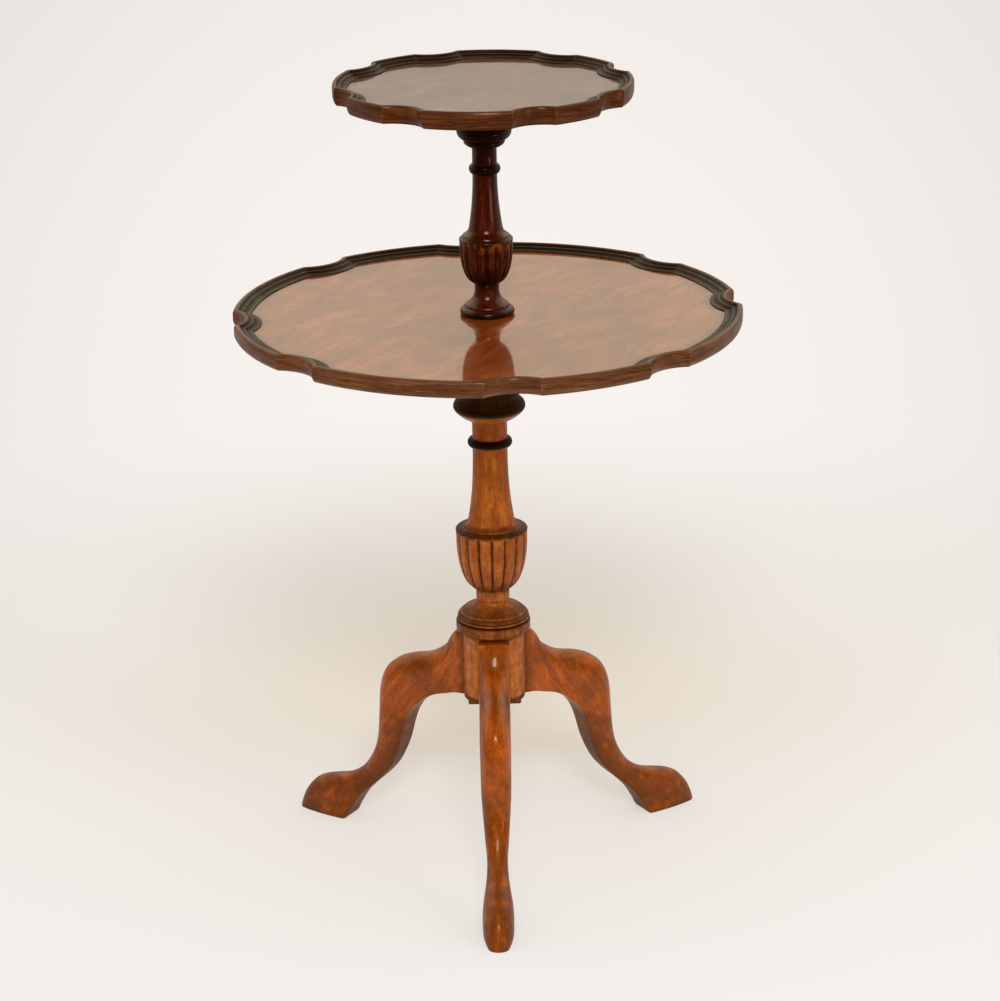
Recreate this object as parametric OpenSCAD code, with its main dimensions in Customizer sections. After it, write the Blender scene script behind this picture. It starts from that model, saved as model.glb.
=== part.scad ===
// Two-tier side table: a turned and carved column on three cabriole legs carries a large
// lower tray and a small upper tray. Each tray has a raised moulded rim of long and short
// arcs joined by scoops.
// The origin is on the column's axis at floor level. +Z is up, and the front leg points along -Y.

/* [Lower tray] */
// Radius of the lower tray over its arcs
lower_r = 290; // [270:5:320]
// Height of the lower tray's surface above the floor
lower_top_z = 668; // [650:2:690]
// Width of the lower rim moulding
lower_rim_w = 21; // [18:0.5:24]
// Height of the lower rim above the tray's surface
lower_rim_up = 7.6; // [6:0.2:10]
// Thickness of the lower tray below its surface
lower_tray_t = 12; // [10:0.5:16]
// Width of each lower scoop, as an angle about the column
lower_scoop_deg = 12; // [10:0.5:14]
// Depth of each lower scoop, from the line between its corners
lower_scoop_d = 11.5; // [8:0.5:14]
// Angle between the two scoops that end a lower long arc
lower_long_deg = 52; // [48:0.5:60]
// Turn of the lower outline, as the angle of a short arc's middle from +X
lower_turn_deg = 24.2; // [0:0.1:90]

/* [Upper tray] */
// Radius of the upper tray over its arcs
upper_r = 168; // [150:1:190]
// Height of the upper tray's surface above the floor
upper_top_z = 930; // [915:1:960]
// Width of the upper rim moulding
upper_rim_w = 17; // [14:0.5:20]
// Height of the upper rim above the tray's surface
upper_rim_up = 7.6; // [6:0.2:10]
// Thickness of the upper tray below its surface
upper_tray_t = 13.4; // [11:0.2:16]
// Width of each upper scoop, as an angle about the column
upper_scoop_deg = 17; // [14:0.5:19]
// Depth of each upper scoop, from the line between its corners
upper_scoop_d = 10; // [7:0.5:12]
// Angle between the two scoops that end an upper long arc
upper_long_deg = 51.2; // [48:0.2:60]
// Turn of the upper outline, as the angle of a short arc's middle from +X
upper_turn_deg = 38.7; // [0:0.1:90]

/* [Tray boards] */
// Thickness of the figured veneer on both boards
veneer_t = 0.8; // [0.6:0.1:2]
// Width of the rim's lip that laps over the board and its veneer
rim_lap = 9; // [6:0.5:11]
// How far the rim's outer face curves in at its underside
rim_tuck = 5; // [2:0.5:7]

/* [Leg block] */
// Height of the column's lowest point above the floor
column_z = 194.5; // [180:0.5:200]
// Reach of the three-sided pad under the block, out to its corners between the legs
pad_r = 35; // [30:0.5:36]
// Distance of each side of the pad from the axis
pad_flat = 19; // [16:0.5:22]
// Thickness of the pad
pad_h = 5; // [4:0.5:8]
// Radius of the block that holds the legs
block_r = 36; // [35:0.5:40]
// Height of the block
block_h = 85.5; // [82:0.5:100]
// Distance of each leg's flat from the axis
block_flat = 30; // [28:0.5:33]
// Radius of the platform ring above the legs
ring_r = 43.5; // [41:0.5:48]
// Height of the platform ring
ring_h = 12; // [8:0.5:16]

/* [Lower column] */
// Height of the beaded dome above the platform ring
dome_h = 23; // [18:0.5:30]
// Radius of the neck between the dome and the cup
neck_r = 19.4; // [18.5:0.2:22]
// Height of that neck
neck_h = 17; // [10:0.5:22]
// Radius of the gadrooned cup
cup_r = 41.9; // [38:0.5:44]
// Height of the gadrooned part of the cup
cup_h = 71; // [60:0.5:80]
// Height of the cup's dark lip
cup_lip_h = 9; // [7:0.2:14]
// Radius of the shaft where it leaves the cup
shaft_foot_r = 27.6; // [24:0.2:30]
// Radius of the shaft at its top
shaft_top_r = 20.2; // [20:0.2:22]
// Radius of the bead at the shaft's top
bead_r = 25.8; // [23:0.2:28]
// Height of that bead
bead_h = 11; // [8:0.5:14]
// Radius of the collar under the lower tray
collar_r = 41.6; // [38:0.5:46]
// Height of that collar
collar_h = 27; // [22:0.5:32]
// Depth from the lower tray's surface to the collar's top
collar_drop = 100.5; // [90:0.5:110]
// Radius of the drum between the collar and the capital
drum_r = 34.5; // [30:0.5:38]
// Radius of the capital under the lower cleat
capital_r = 52; // [46:1:58]

/* [Upper column] */
// Radius of the round foot that stands on the lower tray
foot_r = 31; // [28:0.5:34]
// Height of the foot up to its neck
foot_h = 28; // [24:0.5:32]
// Radius of the neck above the foot
upper_neck_r = 14; // [13:0.1:16]
// Height of that neck
upper_neck_h = 9; // [6:0.5:14]
// Radius of the upper gadrooned cup
upper_cup_r = 30.6; // [27:0.5:34]
// Height of the gadrooned part of the upper cup
upper_cup_h = 48; // [40:0.5:56]
// Height of the upper cup's lip
upper_lip_h = 15.5; // [12:0.5:20]
// Radius of the upper shaft where it leaves the cup
upper_shaft_foot_r = 19.3; // [17:0.1:22]
// Radius of the upper shaft at its top
upper_shaft_top_r = 13.9; // [13:0.1:15]
// Radius of the upper bead
upper_bead_r = 17.8; // [16:0.1:20]
// Height of the upper bead
upper_bead_h = 10.6; // [8:0.2:14]
// Length of the neck above the upper bead
upper_throat_h = 19.3; // [14:0.1:24]
// Radius of the upper collar
upper_collar_r = 30.8; // [28:0.2:34]
// Height of the upper collar
upper_collar_h = 25.3; // [20:0.1:30]
// Depth from the upper tray's surface to the collar's top
upper_collar_drop = 43.5; // [41:0.5:50]
// Radius of the capital under the upper cleat
upper_capital_r = 33; // [30:0.5:38]

/* [Carving] */
// Number of gadroons round each cup
gadroons = 16; // [12:1:20]
// Depth of the valleys between the gadroons
gadroon_d = 2.4; // [1:0.1:3]
// Share of each gadroon's width that its valley takes
gadroon_gap = 0.2; // [0.1:0.02:0.4]

/* [Legs] */
// Distance of each toe's tip from the column's axis
leg_reach = 279; // [260:1:285]
// Width of the leg at its root and knee
knee_w = 36; // [32:0.5:39]
// Width of the leg at its ankle
ankle_w = 24; // [20:0.5:30]
// Width of the foot
toe_w = 36; // [32:0.5:42]
// Depth of the dovetail tongue into the block
tongue_d = 11; // [8:0.5:13]
// Width of the tongue at the face of the block
tongue_w = 14; // [12:0.5:16]
// Width of the tongue at its inner edge
tongue_flare_w = 19; // [16:0.5:20]
// Height of the tongue
tongue_h = 75; // [60:1:80]

/* [Joinery] */
// Glue gap all round each tenon, dowel and dovetail
glue_gap = 0.15; // [0.05:0.05:0.3]
// Radius of the lower cleat
cleat_r = 78; // [70:1:84]
// Thickness of the lower cleat
cleat_h = 22; // [18:1:26]
// Radius of the lower column's tenon in its cleat
tenon_r = 18; // [16:0.5:22]
// Radius of the upper cleat
upper_cleat_r = 50; // [46:1:56]
// Thickness of the upper cleat
upper_cleat_h = 16; // [14:0.5:18]
// Radius of the upper column's tenon in its cleat
upper_tenon_r = 12; // [10:0.5:14]
// Radius of the dowel that joins the two columns through the lower tray
dowel_r = 8; // [7:0.5:9]
// Depth of the dowel below the lower tray's surface
dowel_down = 60; // [50:1:70]
// Height of the dowel above the lower tray's surface
dowel_up = 38; // [30:1:44]
// Number of screws in each cleat
cleat_screws = 4; // [3:1:6]
// Radius of the wood screws' shanks
screw_r = 2; // [1.8:0.1:2.4]
// Radius of the wood screws' countersunk heads
screw_head_r = 4; // [3.6:0.2:4.8]
// Length of a screw in the wood beyond its cleat or pad
screw_bite = 8; // [6:0.5:9]

/* [Hidden] */
$fn = 96;

arcs_per_tray = 4;
quarter_deg = 360 / arcs_per_tray;

// Each tray as one list: radius, surface height, rim width, rim height, thickness, scoop width,
// scoop depth, long step and turn
lower_tray = [lower_r, lower_top_z, lower_rim_w, lower_rim_up, lower_tray_t,
              lower_scoop_deg, lower_scoop_d, lower_long_deg, lower_turn_deg];
upper_tray = [upper_r, upper_top_z, upper_rim_w, upper_rim_up, upper_tray_t,
              upper_scoop_deg, upper_scoop_d, upper_long_deg, upper_turn_deg];
function tray_r(tray) = tray[0];
function tray_z(tray) = tray[1];
function rim_w(tray) = tray[2];
function rim_up(tray) = tray[3];
function tray_t(tray) = tray[4];
function scoop_deg(tray) = tray[5];
function scoop_d(tray) = tray[6];
function long_deg(tray) = tray[7];
function turn_deg(tray) = tray[8];

// A scoop is a circle that meets the tray's circle at two corners
function half_chord(tray) = tray_r(tray) * sin(scoop_deg(tray) / 2);
function scoop_r(tray) =
    (pow(half_chord(tray), 2) + pow(scoop_d(tray), 2)) / (2 * scoop_d(tray));
function scoop_x(tray) =
    tray_r(tray) * cos(scoop_deg(tray) / 2) + scoop_r(tray) - scoop_d(tray);
// The angle from a scoop's middle to its corner, a distance w in from the outline
function corner_deg(tray, w) =
    acos((pow(scoop_x(tray), 2) + pow(tray_r(tray) - w, 2) - pow(scoop_r(tray) + w, 2))
         / (2 * scoop_x(tray) * (tray_r(tray) - w)));
// The middles of the arcs and scoops, as angles from +X
function short_mid(tray, i) = turn_deg(tray) + quarter_deg * i;
function long_mid(tray, i) = short_mid(tray, i) + quarter_deg / 2;
function short_half(tray) = (quarter_deg - long_deg(tray)) / 2;
function long_half(tray) = long_deg(tray) / 2;
function scoop_mid(tray, i) =
    short_mid(tray, floor(i / 2)) + (i % 2 == 0 ? -1 : 1) * short_half(tray);
function polar(r, deg) = [r * cos(deg), r * sin(deg)];

// Heights up the lower column
block_z = column_z + pad_h;
ring_z = block_z + block_h;
dome_z = ring_z + ring_h;
neck_z = dome_z + dome_h;
cup_z = neck_z + neck_h;
cup_lip_z = cup_z + cup_h;
shaft_z = cup_lip_z + cup_lip_h;
collar_top_z = lower_top_z - collar_drop;
collar_z = collar_top_z - collar_h;
bead_gap = 20.5;
bead_z = collar_z - bead_gap - bead_h;
lower_base_z = lower_top_z - lower_tray_t;
cleat_z = lower_base_z - cleat_h;
// Heights up the upper column
upper_neck_z = lower_top_z + foot_h;
upper_cup_z = upper_neck_z + upper_neck_h;
upper_lip_z = upper_cup_z + upper_cup_h;
upper_shaft_z = upper_lip_z + upper_lip_h;
upper_collar_top_z = upper_top_z - upper_collar_drop;
upper_collar_z = upper_collar_top_z - upper_collar_h;
upper_bead_z = upper_collar_z - upper_throat_h - upper_bead_h;
upper_base_z = upper_top_z - upper_tray_t;
upper_cleat_z = upper_base_z - upper_cleat_h;
edge_round = 1.5;
// The fine line scribed round the lower neck
neck_groove_d = 0.6;
neck_line_z = neck_z + 1.5;
// Radius of the upper capital at its foot, as a share of its radius at the top
capital_taper = 0.82;

// Turned shapes, each as [share of the way from r0 to r1, share of the height]
dome_shape = [[0.02, 0], [0.06, 0.02], [0.06, 0.055], [0, 0.08], [0, 0.15], [0.035, 0.19],
              [0.035, 0.22], [0.02, 0.24], [0.06, 0.3], [0.13, 0.385], [0.2, 0.43], [0.22, 0.47],
              [0.4, 0.61], [0.66, 0.72], [0.86, 0.83], [0.96, 0.93], [1, 1]];
lip_shape = [[0, 0.08], [0.04, 0.15], [0.3, 0.33], [0.55, 0.44], [0.6, 0.5], [0.62, 0.66],
             [0.74, 0.82], [0.9, 0.91], [1, 1]];
upper_lip_shape = [[0.03, 0.21], [0.14, 0.29], [0.32, 0.38], [0.36, 0.47], [0.55, 0.57],
                   [0.72, 0.66], [0.88, 0.78], [1, 1]];
collar_shape = [[0, 0], [0.28, 0.1], [0.57, 0.24], [0.77, 0.37], [0.92, 0.5], [0.99, 0.6],
                [0.99, 0.72], [0.93, 0.84], [0.82, 0.93], [0.69, 1]];
capital_shape = [[0, 0.32], [0.14, 0.36], [0.14, 0.44], [0.03, 0.47], [0.06, 0.62], [0.2, 0.75],
                 [0.48, 0.85], [0.82, 0.89], [0.86, 0.92], [1, 0.92], [1, 1]];
foot_shape = [[0.886, 0], [0.977, 0.064], [1, 0.136], [0.943, 0.229], [0.783, 0.307],
              [0.669, 0.329], [0.669, 0.364], [0.617, 0.43], [0.463, 0.493], [0.286, 0.586],
              [0.143, 0.696], [0.04, 0.84], [0, 1]];
upper_collar_shape = [[0, 0], [0.22, 0.04], [0.44, 0.13], [0.55, 0.23], [0.55, 0.32],
                      [0.51, 0.36], [0.72, 0.4], [0.89, 0.5], [0.987, 0.64], [1, 0.78],
                      [0.91, 0.92], [0.75, 1]];
function turned(shape, r0, r1, z0, h) = [for (k = shape) [r0 + k[0] * (r1 - r0), z0 + k[1] * h]];
// A cup's side, a quarter of an ellipse from its foot out to its full radius
cup_round = 0.88;
function cup_side(r0, r1, z0, h) =
    concat([for (a = [0:7.5:90]) [r0 + (r1 - r0) * sin(a), z0 + h * cup_round * (1 - cos(a))]],
           [[r1, z0 + h]]);
// A shaft that thins quickly at first and then runs nearly straight
lower_shaft_bend = 2.5;
upper_shaft_bend = 2;
function shaft_side(r0, r1, z0, z1, bend) =
    [for (t = [0.08:0.08:1]) [r1 + (r0 - r1) * pow(1 - t, bend), z0 + t * (z1 - z0)]];
// A bead, half an ellipse standing out from a shaft
function bead_side(r0, r1, z0, h) =
    [for (a = [-90:15:90]) [r0 + (r1 - r0) * cos(a), z0 + h / 2 * (1 + sin(a))]];

lower_profile = concat(
    [[0, block_z], [block_r, block_z], [block_r, ring_z], [ring_r - edge_round / 2, ring_z],
     [ring_r, ring_z + edge_round], [ring_r, dome_z - edge_round], [ring_r - edge_round, dome_z]],
    turned(dome_shape, ring_r - edge_round, neck_r, dome_z, dome_h),
    [[neck_r, neck_line_z], [neck_r - neck_groove_d, neck_line_z + neck_groove_d],
     [neck_r, neck_line_z + neck_groove_d * 2]],
    cup_side(neck_r + neck_groove_d, cup_r, cup_z, cup_h),
    turned(lip_shape, cup_r, shaft_foot_r, cup_lip_z, cup_lip_h),
    shaft_side(shaft_foot_r, shaft_top_r, shaft_z, bead_z, lower_shaft_bend),
    bead_side(shaft_top_r, bead_r, bead_z, bead_h),
    turned(collar_shape, shaft_top_r, collar_r, collar_z, collar_h),
    [[drum_r, collar_top_z]],
    turned(capital_shape, drum_r, capital_r, collar_top_z, cleat_z - collar_top_z),
    [[tenon_r, cleat_z], [tenon_r, lower_base_z], [0, lower_base_z]]);

upper_profile = concat(
    [[0, lower_top_z]],
    turned(foot_shape, upper_neck_r, foot_r, lower_top_z, foot_h),
    cup_side(upper_neck_r, upper_cup_r, upper_cup_z, upper_cup_h),
    turned(upper_lip_shape, upper_cup_r, upper_shaft_foot_r, upper_lip_z, upper_lip_h),
    shaft_side(upper_shaft_foot_r, upper_shaft_top_r, upper_shaft_z, upper_bead_z,
               upper_shaft_bend),
    bead_side(upper_shaft_top_r, upper_bead_r, upper_bead_z, upper_bead_h),
    turned(upper_collar_shape, upper_shaft_top_r, upper_collar_r, upper_collar_z,
           upper_collar_h),
    [[upper_capital_r * capital_taper, upper_collar_top_z + edge_round],
     [upper_capital_r, upper_cleat_z - edge_round], [upper_capital_r, upper_cleat_z],
     [upper_tenon_r, upper_cleat_z], [upper_tenon_r, upper_base_z], [0, upper_base_z]]);

// The valleys between gadroons: a ring just under the cup's side, cut into narrow sectors. It
// comes in from outside the neck, just below the cup's foot
module valleys(r0, r1, z0, h) {
    top = z0 + h;
    width_deg = 360 / gadroons * gadroon_gap;
    for (i = [0:gadroons - 1]) rotate(360 / gadroons * i - quarter_deg - width_deg / 2)
        rotate_extrude(angle = width_deg) polygon(concat(
            [[r0 + 1, z0 - 1]],
            [for (p = cup_side(r0, r1, z0, h)) if (p[0] - gadroon_d > r0) [p[0] - gadroon_d, p[1]]],
            [[r1 + gadroon_d, top], [r1 + gadroon_d, z0 - 1]]));
}

// The front leg's direction, and the legs' places round the block
legs = 3;
leg_front_deg = 270;
function leg_deg(i) = leg_front_deg - i * 360 / legs;
module at_leg(i) {
    rotate(leg_deg(i)) children();
}

// The dovetail tongue as seen from above, grown by a gap for its slot
module tongue_plan(gap) {
    inner = block_flat - tongue_d - gap;
    outer = block_flat + 1;
    inner_half = tongue_flare_w / 2 + gap;
    outer_half = tongue_w / 2 + gap;
    polygon([[inner, -inner_half], [outer, -outer_half], [outer, outer_half], [inner, inner_half]]);
}
module leg_slots() {
    for (i = [0:legs - 1]) at_leg(i) {
        translate([0, 0, block_z - 1]) linear_extrude(tongue_h + glue_gap + 1)
            tongue_plan(glue_gap);
        translate([block_flat, -knee_w / 2 - 2, block_z - 1])
            cube([block_r, knee_w + 4, ring_z - block_z + 1]);
    }
}

module lower_stem() {
    color("peru") difference() {
        rotate_extrude() polygon(lower_profile);
        valleys(neck_r + neck_groove_d, cup_r, cup_z, cup_h);
        leg_slots();
        translate([0, 0, lower_top_z - dowel_down])
            cylinder(r = dowel_r + glue_gap, h = dowel_down);
        translate([0, 0, block_z - 1]) cylinder(r = screw_r, h = screw_bite + 1 + glue_gap);
    }
}

module upper_stem() {
    color("saddlebrown") difference() {
        rotate_extrude() polygon(upper_profile);
        valleys(upper_neck_r, upper_cup_r, upper_cup_z, upper_cup_h);
        translate([0, 0, lower_top_z - 1])
            cylinder(r = dowel_r + glue_gap, h = dowel_up + 1 + glue_gap);
    }
}

module stem_dowel() {
    color("burlywood") translate([0, 0, lower_top_z - dowel_down])
        cylinder(r = dowel_r, h = dowel_down + dowel_up);
}

// A countersunk wood screw with a slotted head, pointing up, its head flush at z = 0
screw_head_h = 2.4;
screw_rim_h = 0.4;
screw_slot_w = 1;
screw_slot_d = 1;
module wood_screw(length) {
    color("darkgoldenrod") difference() {
        rotate_extrude() polygon([[0, 0], [screw_head_r, 0], [screw_head_r, screw_rim_h],
            [screw_r, screw_head_h], [screw_r, length - screw_r * 2], [0, length]]);
        translate([-screw_head_r - 1, -screw_slot_w / 2, -1])
            cube([screw_head_r * 2 + 2, screw_slot_w, screw_slot_d + 1]);
    }
}
// The hole that a wood screw lies in
module screw_hole(length) {
    translate([0, 0, -1]) cylinder(r = screw_head_r + glue_gap, h = 1 + screw_rim_h + glue_gap);
    translate([0, 0, screw_rim_h + glue_gap])
        cylinder(r1 = screw_head_r + glue_gap, r2 = screw_r + glue_gap,
                 h = screw_head_h - screw_rim_h);
    cylinder(r = screw_r + glue_gap, h = length + glue_gap);
}
module at_screws(pitch_r, z) {
    for (i = [0:cleat_screws - 1]) rotate(360 / cleat_screws * (i + 0.5))
        translate([pitch_r, 0, z]) children();
}

module block_pad() {
    color("sienna") difference() {
        intersection() {
            translate([0, 0, column_z]) cylinder(r = pad_r, h = pad_h);
            rotate(leg_front_deg + 180) translate([0, 0, column_z - 1])
                cylinder(r = pad_flat * 2, h = pad_h + 2, $fn = 3);
        }
        translate([0, 0, column_z]) screw_hole(pad_h + 1);
    }
}
module block_pad_screw() {
    translate([0, 0, column_z]) wood_screw(pad_h + screw_bite);
}

// A leg's side view, drawn for a reach of pattern_reach from the block's flat and for a rise of
// pattern_rise to the platform ring. Each station gives a point on the upper edge, a point on
// the underside and the leg's width there, and they stretch to the sizes in use.
pattern_reach = 249;
pattern_rise = 285;
pattern_root = 199.5;
leg_stations = [
    [[0, 285], [0, 199.5], knee_w],
    [[11, 284.6], [8, 198.8], knee_w],
    [[23, 270], [17, 198], knee_w],
    [[34.5, 254], [29, 194.7], knee_w],
    [[54.5, 239.5], [43.5, 190.5], knee_w],
    [[81.5, 232], [57, 183.3], knee_w],
    [[101, 223.5], [66.5, 174.8], knee_w],
    [[118, 208], [77, 165], knee_w],
    [[126.5, 185], [85, 151.5], knee_w - 0.5],
    [[129, 149.5], [91, 134.5], knee_w - 1],
    [[131.5, 121.5], [96, 115.5], knee_w - 3],
    [[137, 100.5], [102.5, 98], (knee_w + ankle_w) / 2],
    [[147, 82], [112, 80], ankle_w + 3],
    [[159, 68], [125.5, 64], ankle_w],
    [[176.5, 57.5], [142.5, 48], ankle_w + 1],
    [[196.5, 52], [158.5, 31], (ankle_w + toe_w) / 2],
    [[212, 47.5], [170, 13.5], toe_w - 1.5],
    [[225.5, 40], [181, -3], toe_w],
    [[238.5, 25], [205, -4], toe_w - 2],
    [[246, 8], [226, -6], toe_w * 0.72],
    [[248.5, -4], [240, -9], toe_w * 0.4]];
function stretch(p) = [block_flat + p[0] * (leg_reach - block_flat) / pattern_reach,
    p[1] < pattern_root ? p[1] * block_z / pattern_root
        : block_z + (p[1] - pattern_root) * block_h / (pattern_rise - pattern_root)];
// A smooth curve through four values, a share t of the way from b to c
function blend(a, b, c, d, t) =
    0.5 * (2 * b + (c - a) * t + (2 * a - 5 * b + 4 * c - d) * t * t
           + (3 * b - a - 3 * c + d) * t * t * t);
last_station = len(leg_stations) - 1;
function station(i) = leg_stations[max(0, min(last_station, i))];
function station_at(i, t) = [for (k = [0:2])
    blend(station(i - 1)[k], station(i)[k], station(i + 1)[k], station(i + 2)[k], t)];
leg_rings = concat([station(0)], [for (i = [1:last_station - 1], t = [0, 0.5]) station_at(i, t)],
                   [station(last_station)]);
// The leg's section: flat sides up to its shoulder, a rounded upper edge and a crisp underside.
// Each corner is [share of the half width, share of the way up]
leg_shoulder = 0.58;
leg_section = concat(
    [[0.93, 0], [1, 0.05], [1, 0.3], [1, leg_shoulder]],
    [for (a = [25:21.67:91]) [cos(a), leg_shoulder + (1 - leg_shoulder) * sin(a)]]);
half_count = len(leg_section);
function ring_point(ring, corner, side) = let (
    top = stretch(ring[0]), under = stretch(ring[1]), p = under + (top - under) * corner[1])
    [p[0], side * corner[0] * ring[2] / 2, p[1]];
module cabriole() {
    ring_n = half_count * 2 - 1;
    points = [for (ring = leg_rings, k = [0:ring_n - 1])
        k < half_count ? ring_point(ring, leg_section[k], -1)
                       : ring_point(ring, leg_section[ring_n - 1 - k], 1)];
    last = len(leg_rings) - 1;
    polyhedron(points, concat(
        [[for (k = [ring_n - 1:-1:0]) k]],
        [for (i = [0:last - 1], k = [0:ring_n - 1]) let (a = i * ring_n + k,
            b = i * ring_n + (k + 1) % ring_n)
            each [[a, b, a + ring_n], [b, b + ring_n, a + ring_n]]],
        [[for (k = [0:ring_n - 1]) last * ring_n + k]]), convexity = 6);
}
module leg(i) {
    below = 20;
    color("chocolate") at_leg(i) {
        // The sole is cut flat at floor level
        difference() {
            cabriole();
            translate([0, -toe_w, -below]) cube([leg_reach * 2, toe_w * 2, below]);
        }
        translate([0, 0, block_z]) linear_extrude(tongue_h) tongue_plan(0);
    }
}

// A cleat is a turned disc, screwed up into the board above it. Its underside is flat out to
// face_r and then rises to the edge, and the screws stand midway between the capital and face_r
function face_r(r, h) = r - h / 2;
module cleat(r, h, z, bore_r, screw_ring) {
    color("sienna") difference() {
        translate([0, 0, z]) rotate_extrude() polygon([[bore_r + glue_gap, 0], [face_r(r, h), 0],
            [r, h / 4], [r, h], [bore_r + glue_gap, h]]);
        at_screws(screw_ring, z) screw_hole(h + 1);
    }
}
lower_screw_ring = (face_r(cleat_r, cleat_h) + capital_r) / 2;
upper_screw_ring = (face_r(upper_cleat_r, upper_cleat_h) + upper_capital_r) / 2;
module lower_cleat() {
    cleat(cleat_r, cleat_h, cleat_z, tenon_r, lower_screw_ring);
}
module upper_cleat() {
    cleat(upper_cleat_r, upper_cleat_h, upper_cleat_z, upper_tenon_r, upper_screw_ring);
}
module lower_cleat_screws() {
    at_screws(lower_screw_ring, cleat_z) wood_screw(cleat_h + screw_bite);
}
module upper_cleat_screws() {
    at_screws(upper_screw_ring, upper_cleat_z) wood_screw(upper_cleat_h + screw_bite);
}

// A tray's outline, moved in by w
module tray_plan(tray, w, z, t) {
    difference() {
        translate([0, 0, z]) cylinder(r = tray_r(tray) - w, h = t, $fn = 180);
        for (i = [0:2 * arcs_per_tray - 1]) rotate(scoop_mid(tray, i))
            translate([scoop_x(tray), 0, z - 1]) cylinder(r = scoop_r(tray) + w, h = t + 2);
    }
}
// How far the board's edge lies in from the tray's outline
function board_in(tray) = rim_w(tray) - rim_lap + glue_gap;
module board(tray, screw_ring, bore_r) {
    base_z = tray_z(tray) - tray_t(tray);
    color("burlywood") difference() {
        tray_plan(tray, board_in(tray), base_z, tray_t(tray) - veneer_t);
        at_screws(screw_ring, base_z - 1)
            cylinder(r = screw_r + glue_gap, h = screw_bite + 1 + glue_gap);
        if (bore_r > 0) translate([0, 0, base_z - 1])
            cylinder(r = bore_r + glue_gap, h = tray_t(tray) + 2);
    }
}
module veneer(tray, bore_r) {
    color("tan") difference() {
        tray_plan(tray, board_in(tray), tray_z(tray) - veneer_t, veneer_t);
        if (bore_r > 0) translate([0, 0, tray_z(tray) - veneer_t - 1])
            cylinder(r = bore_r + glue_gap, h = veneer_t + 2);
    }
}
module lower_board() { board(lower_tray, lower_screw_ring, dowel_r); }
module lower_veneer() { veneer(lower_tray, dowel_r); }
module upper_board() { board(upper_tray, upper_screw_ring, 0); }
module upper_veneer() { veneer(upper_tray, 0); }

// The moulding's section, as [distance in from the outline, height above the tray's surface]
function rim_section(tray) = let (
    w = rim_w(tray), up = rim_up(tray), low = -tray_t(tray), lap = w - rim_lap)
    concat(
        [for (a = [90:-15:0]) [rim_tuck * (1 - cos(a)), low * (0.25 + 0.75 * sin(a))]],
        [for (a = [0:22.5:90]) [0.16 * w * (1 - cos(a)), up * (0.45 + 0.55 * sin(a))]],
        [[0.27 * w, up * 0.97], [0.32 * w, up * 0.86], [0.38 * w, up * 0.62], [0.45 * w, up * 0.53],
         [0.52 * w, up * 0.56], [0.58 * w, up * 0.54], [0.61 * w, up * 0.46], [0.66 * w, up * 0.3],
         [0.74 * w, up * 0.2], [0.84 * w, up * 0.17], [0.93 * w, up * 0.2], [0.98 * w, up * 0.14],
         [w, 0], [lap, 0], [lap, low]]);

// The mitre line through a corner's outer and inner points, drawn on past both
past_outer = 0.5;
past_inner = 0.05;
function mitre(tray, deg) = let (w = rim_w(tray) + 1,
    outer = polar(tray_r(tray), deg + corner_deg(tray, 0)),
    inner = polar(tray_r(tray) - w, deg + corner_deg(tray, w)))
    [outer + (outer - inner) * past_outer, inner + (inner - outer) * past_inner];
function mirrored(line) = [for (p = line) [p[0], -p[1]]];
function turned_line(line, deg) = [for (p = line)
    [p[0] * cos(deg) - p[1] * sin(deg), p[0] * sin(deg) + p[1] * cos(deg)]];

// An arc of rim between two scoops, its middle on +X, trimmed to its mitres by a wedge whose
// point lies well outside the tray
wedge_reach = 1.2;
module rim_arc(tray, half_deg) {
    start = turned_line(mitre(tray, 0), -half_deg);
    end = mirrored(start);
    far = polar(tray_r(tray) * wedge_reach / cos(half_deg), 0);
    color("saddlebrown") intersection() {
        rotate(-half_deg) rotate_extrude(angle = half_deg * 2, $fn = 180)
            translate([tray_r(tray), tray_z(tray)]) mirror([1, 0]) polygon(rim_section(tray));
        translate([0, 0, tray_z(tray) - tray_t(tray) - 1])
            linear_extrude(tray_t(tray) + rim_up(tray) + 2)
            polygon([start[1], start[0], far, end[0], end[1]]);
    }
}
// A scoop of rim, its middle on +X
module rim_scoop(tray) {
    end = mitre(tray, 0);
    start = mirrored(end);
    inner = tray_r(tray) - scoop_d(tray) - rim_w(tray) * 3;
    sweep_deg = 65;
    color("saddlebrown") intersection() {
        translate([scoop_x(tray), 0, 0]) rotate(180 - sweep_deg)
            rotate_extrude(angle = sweep_deg * 2) translate([scoop_r(tray), tray_z(tray)])
            polygon(rim_section(tray));
        translate([0, 0, tray_z(tray) - tray_t(tray) - 1])
            linear_extrude(tray_t(tray) + rim_up(tray) + 2)
            polygon([start[0], end[0], end[1], [inner, end[1][1]], [inner, start[1][1]],
                     start[1]]);
    }
}

lower_stem();
block_pad();
block_pad_screw();
leg(0);  // leg_front
leg(1);  // leg_left
leg(2);  // leg_right
lower_cleat();
lower_cleat_screws();
lower_board();
lower_veneer();
stem_dowel();
upper_stem();
upper_cleat();
upper_cleat_screws();
upper_board();
upper_veneer();
for (i = [0:arcs_per_tray - 1]) {
    rotate(long_mid(lower_tray, i)) rim_arc(lower_tray, long_half(lower_tray));
    rotate(short_mid(lower_tray, i)) rim_arc(lower_tray, short_half(lower_tray));
    rotate(long_mid(upper_tray, i)) rim_arc(upper_tray, long_half(upper_tray));
    rotate(short_mid(upper_tray, i)) rim_arc(upper_tray, short_half(upper_tray));
}
for (i = [0:2 * arcs_per_tray - 1]) {
    rotate(scoop_mid(lower_tray, i)) rim_scoop(lower_tray);
    rotate(scoop_mid(upper_tray, i)) rim_scoop(upper_tray);
}
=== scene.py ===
import math
import bmesh
import bpy
from mathutils import Matrix, Vector
from mathutils.kdtree import KDTree


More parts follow.
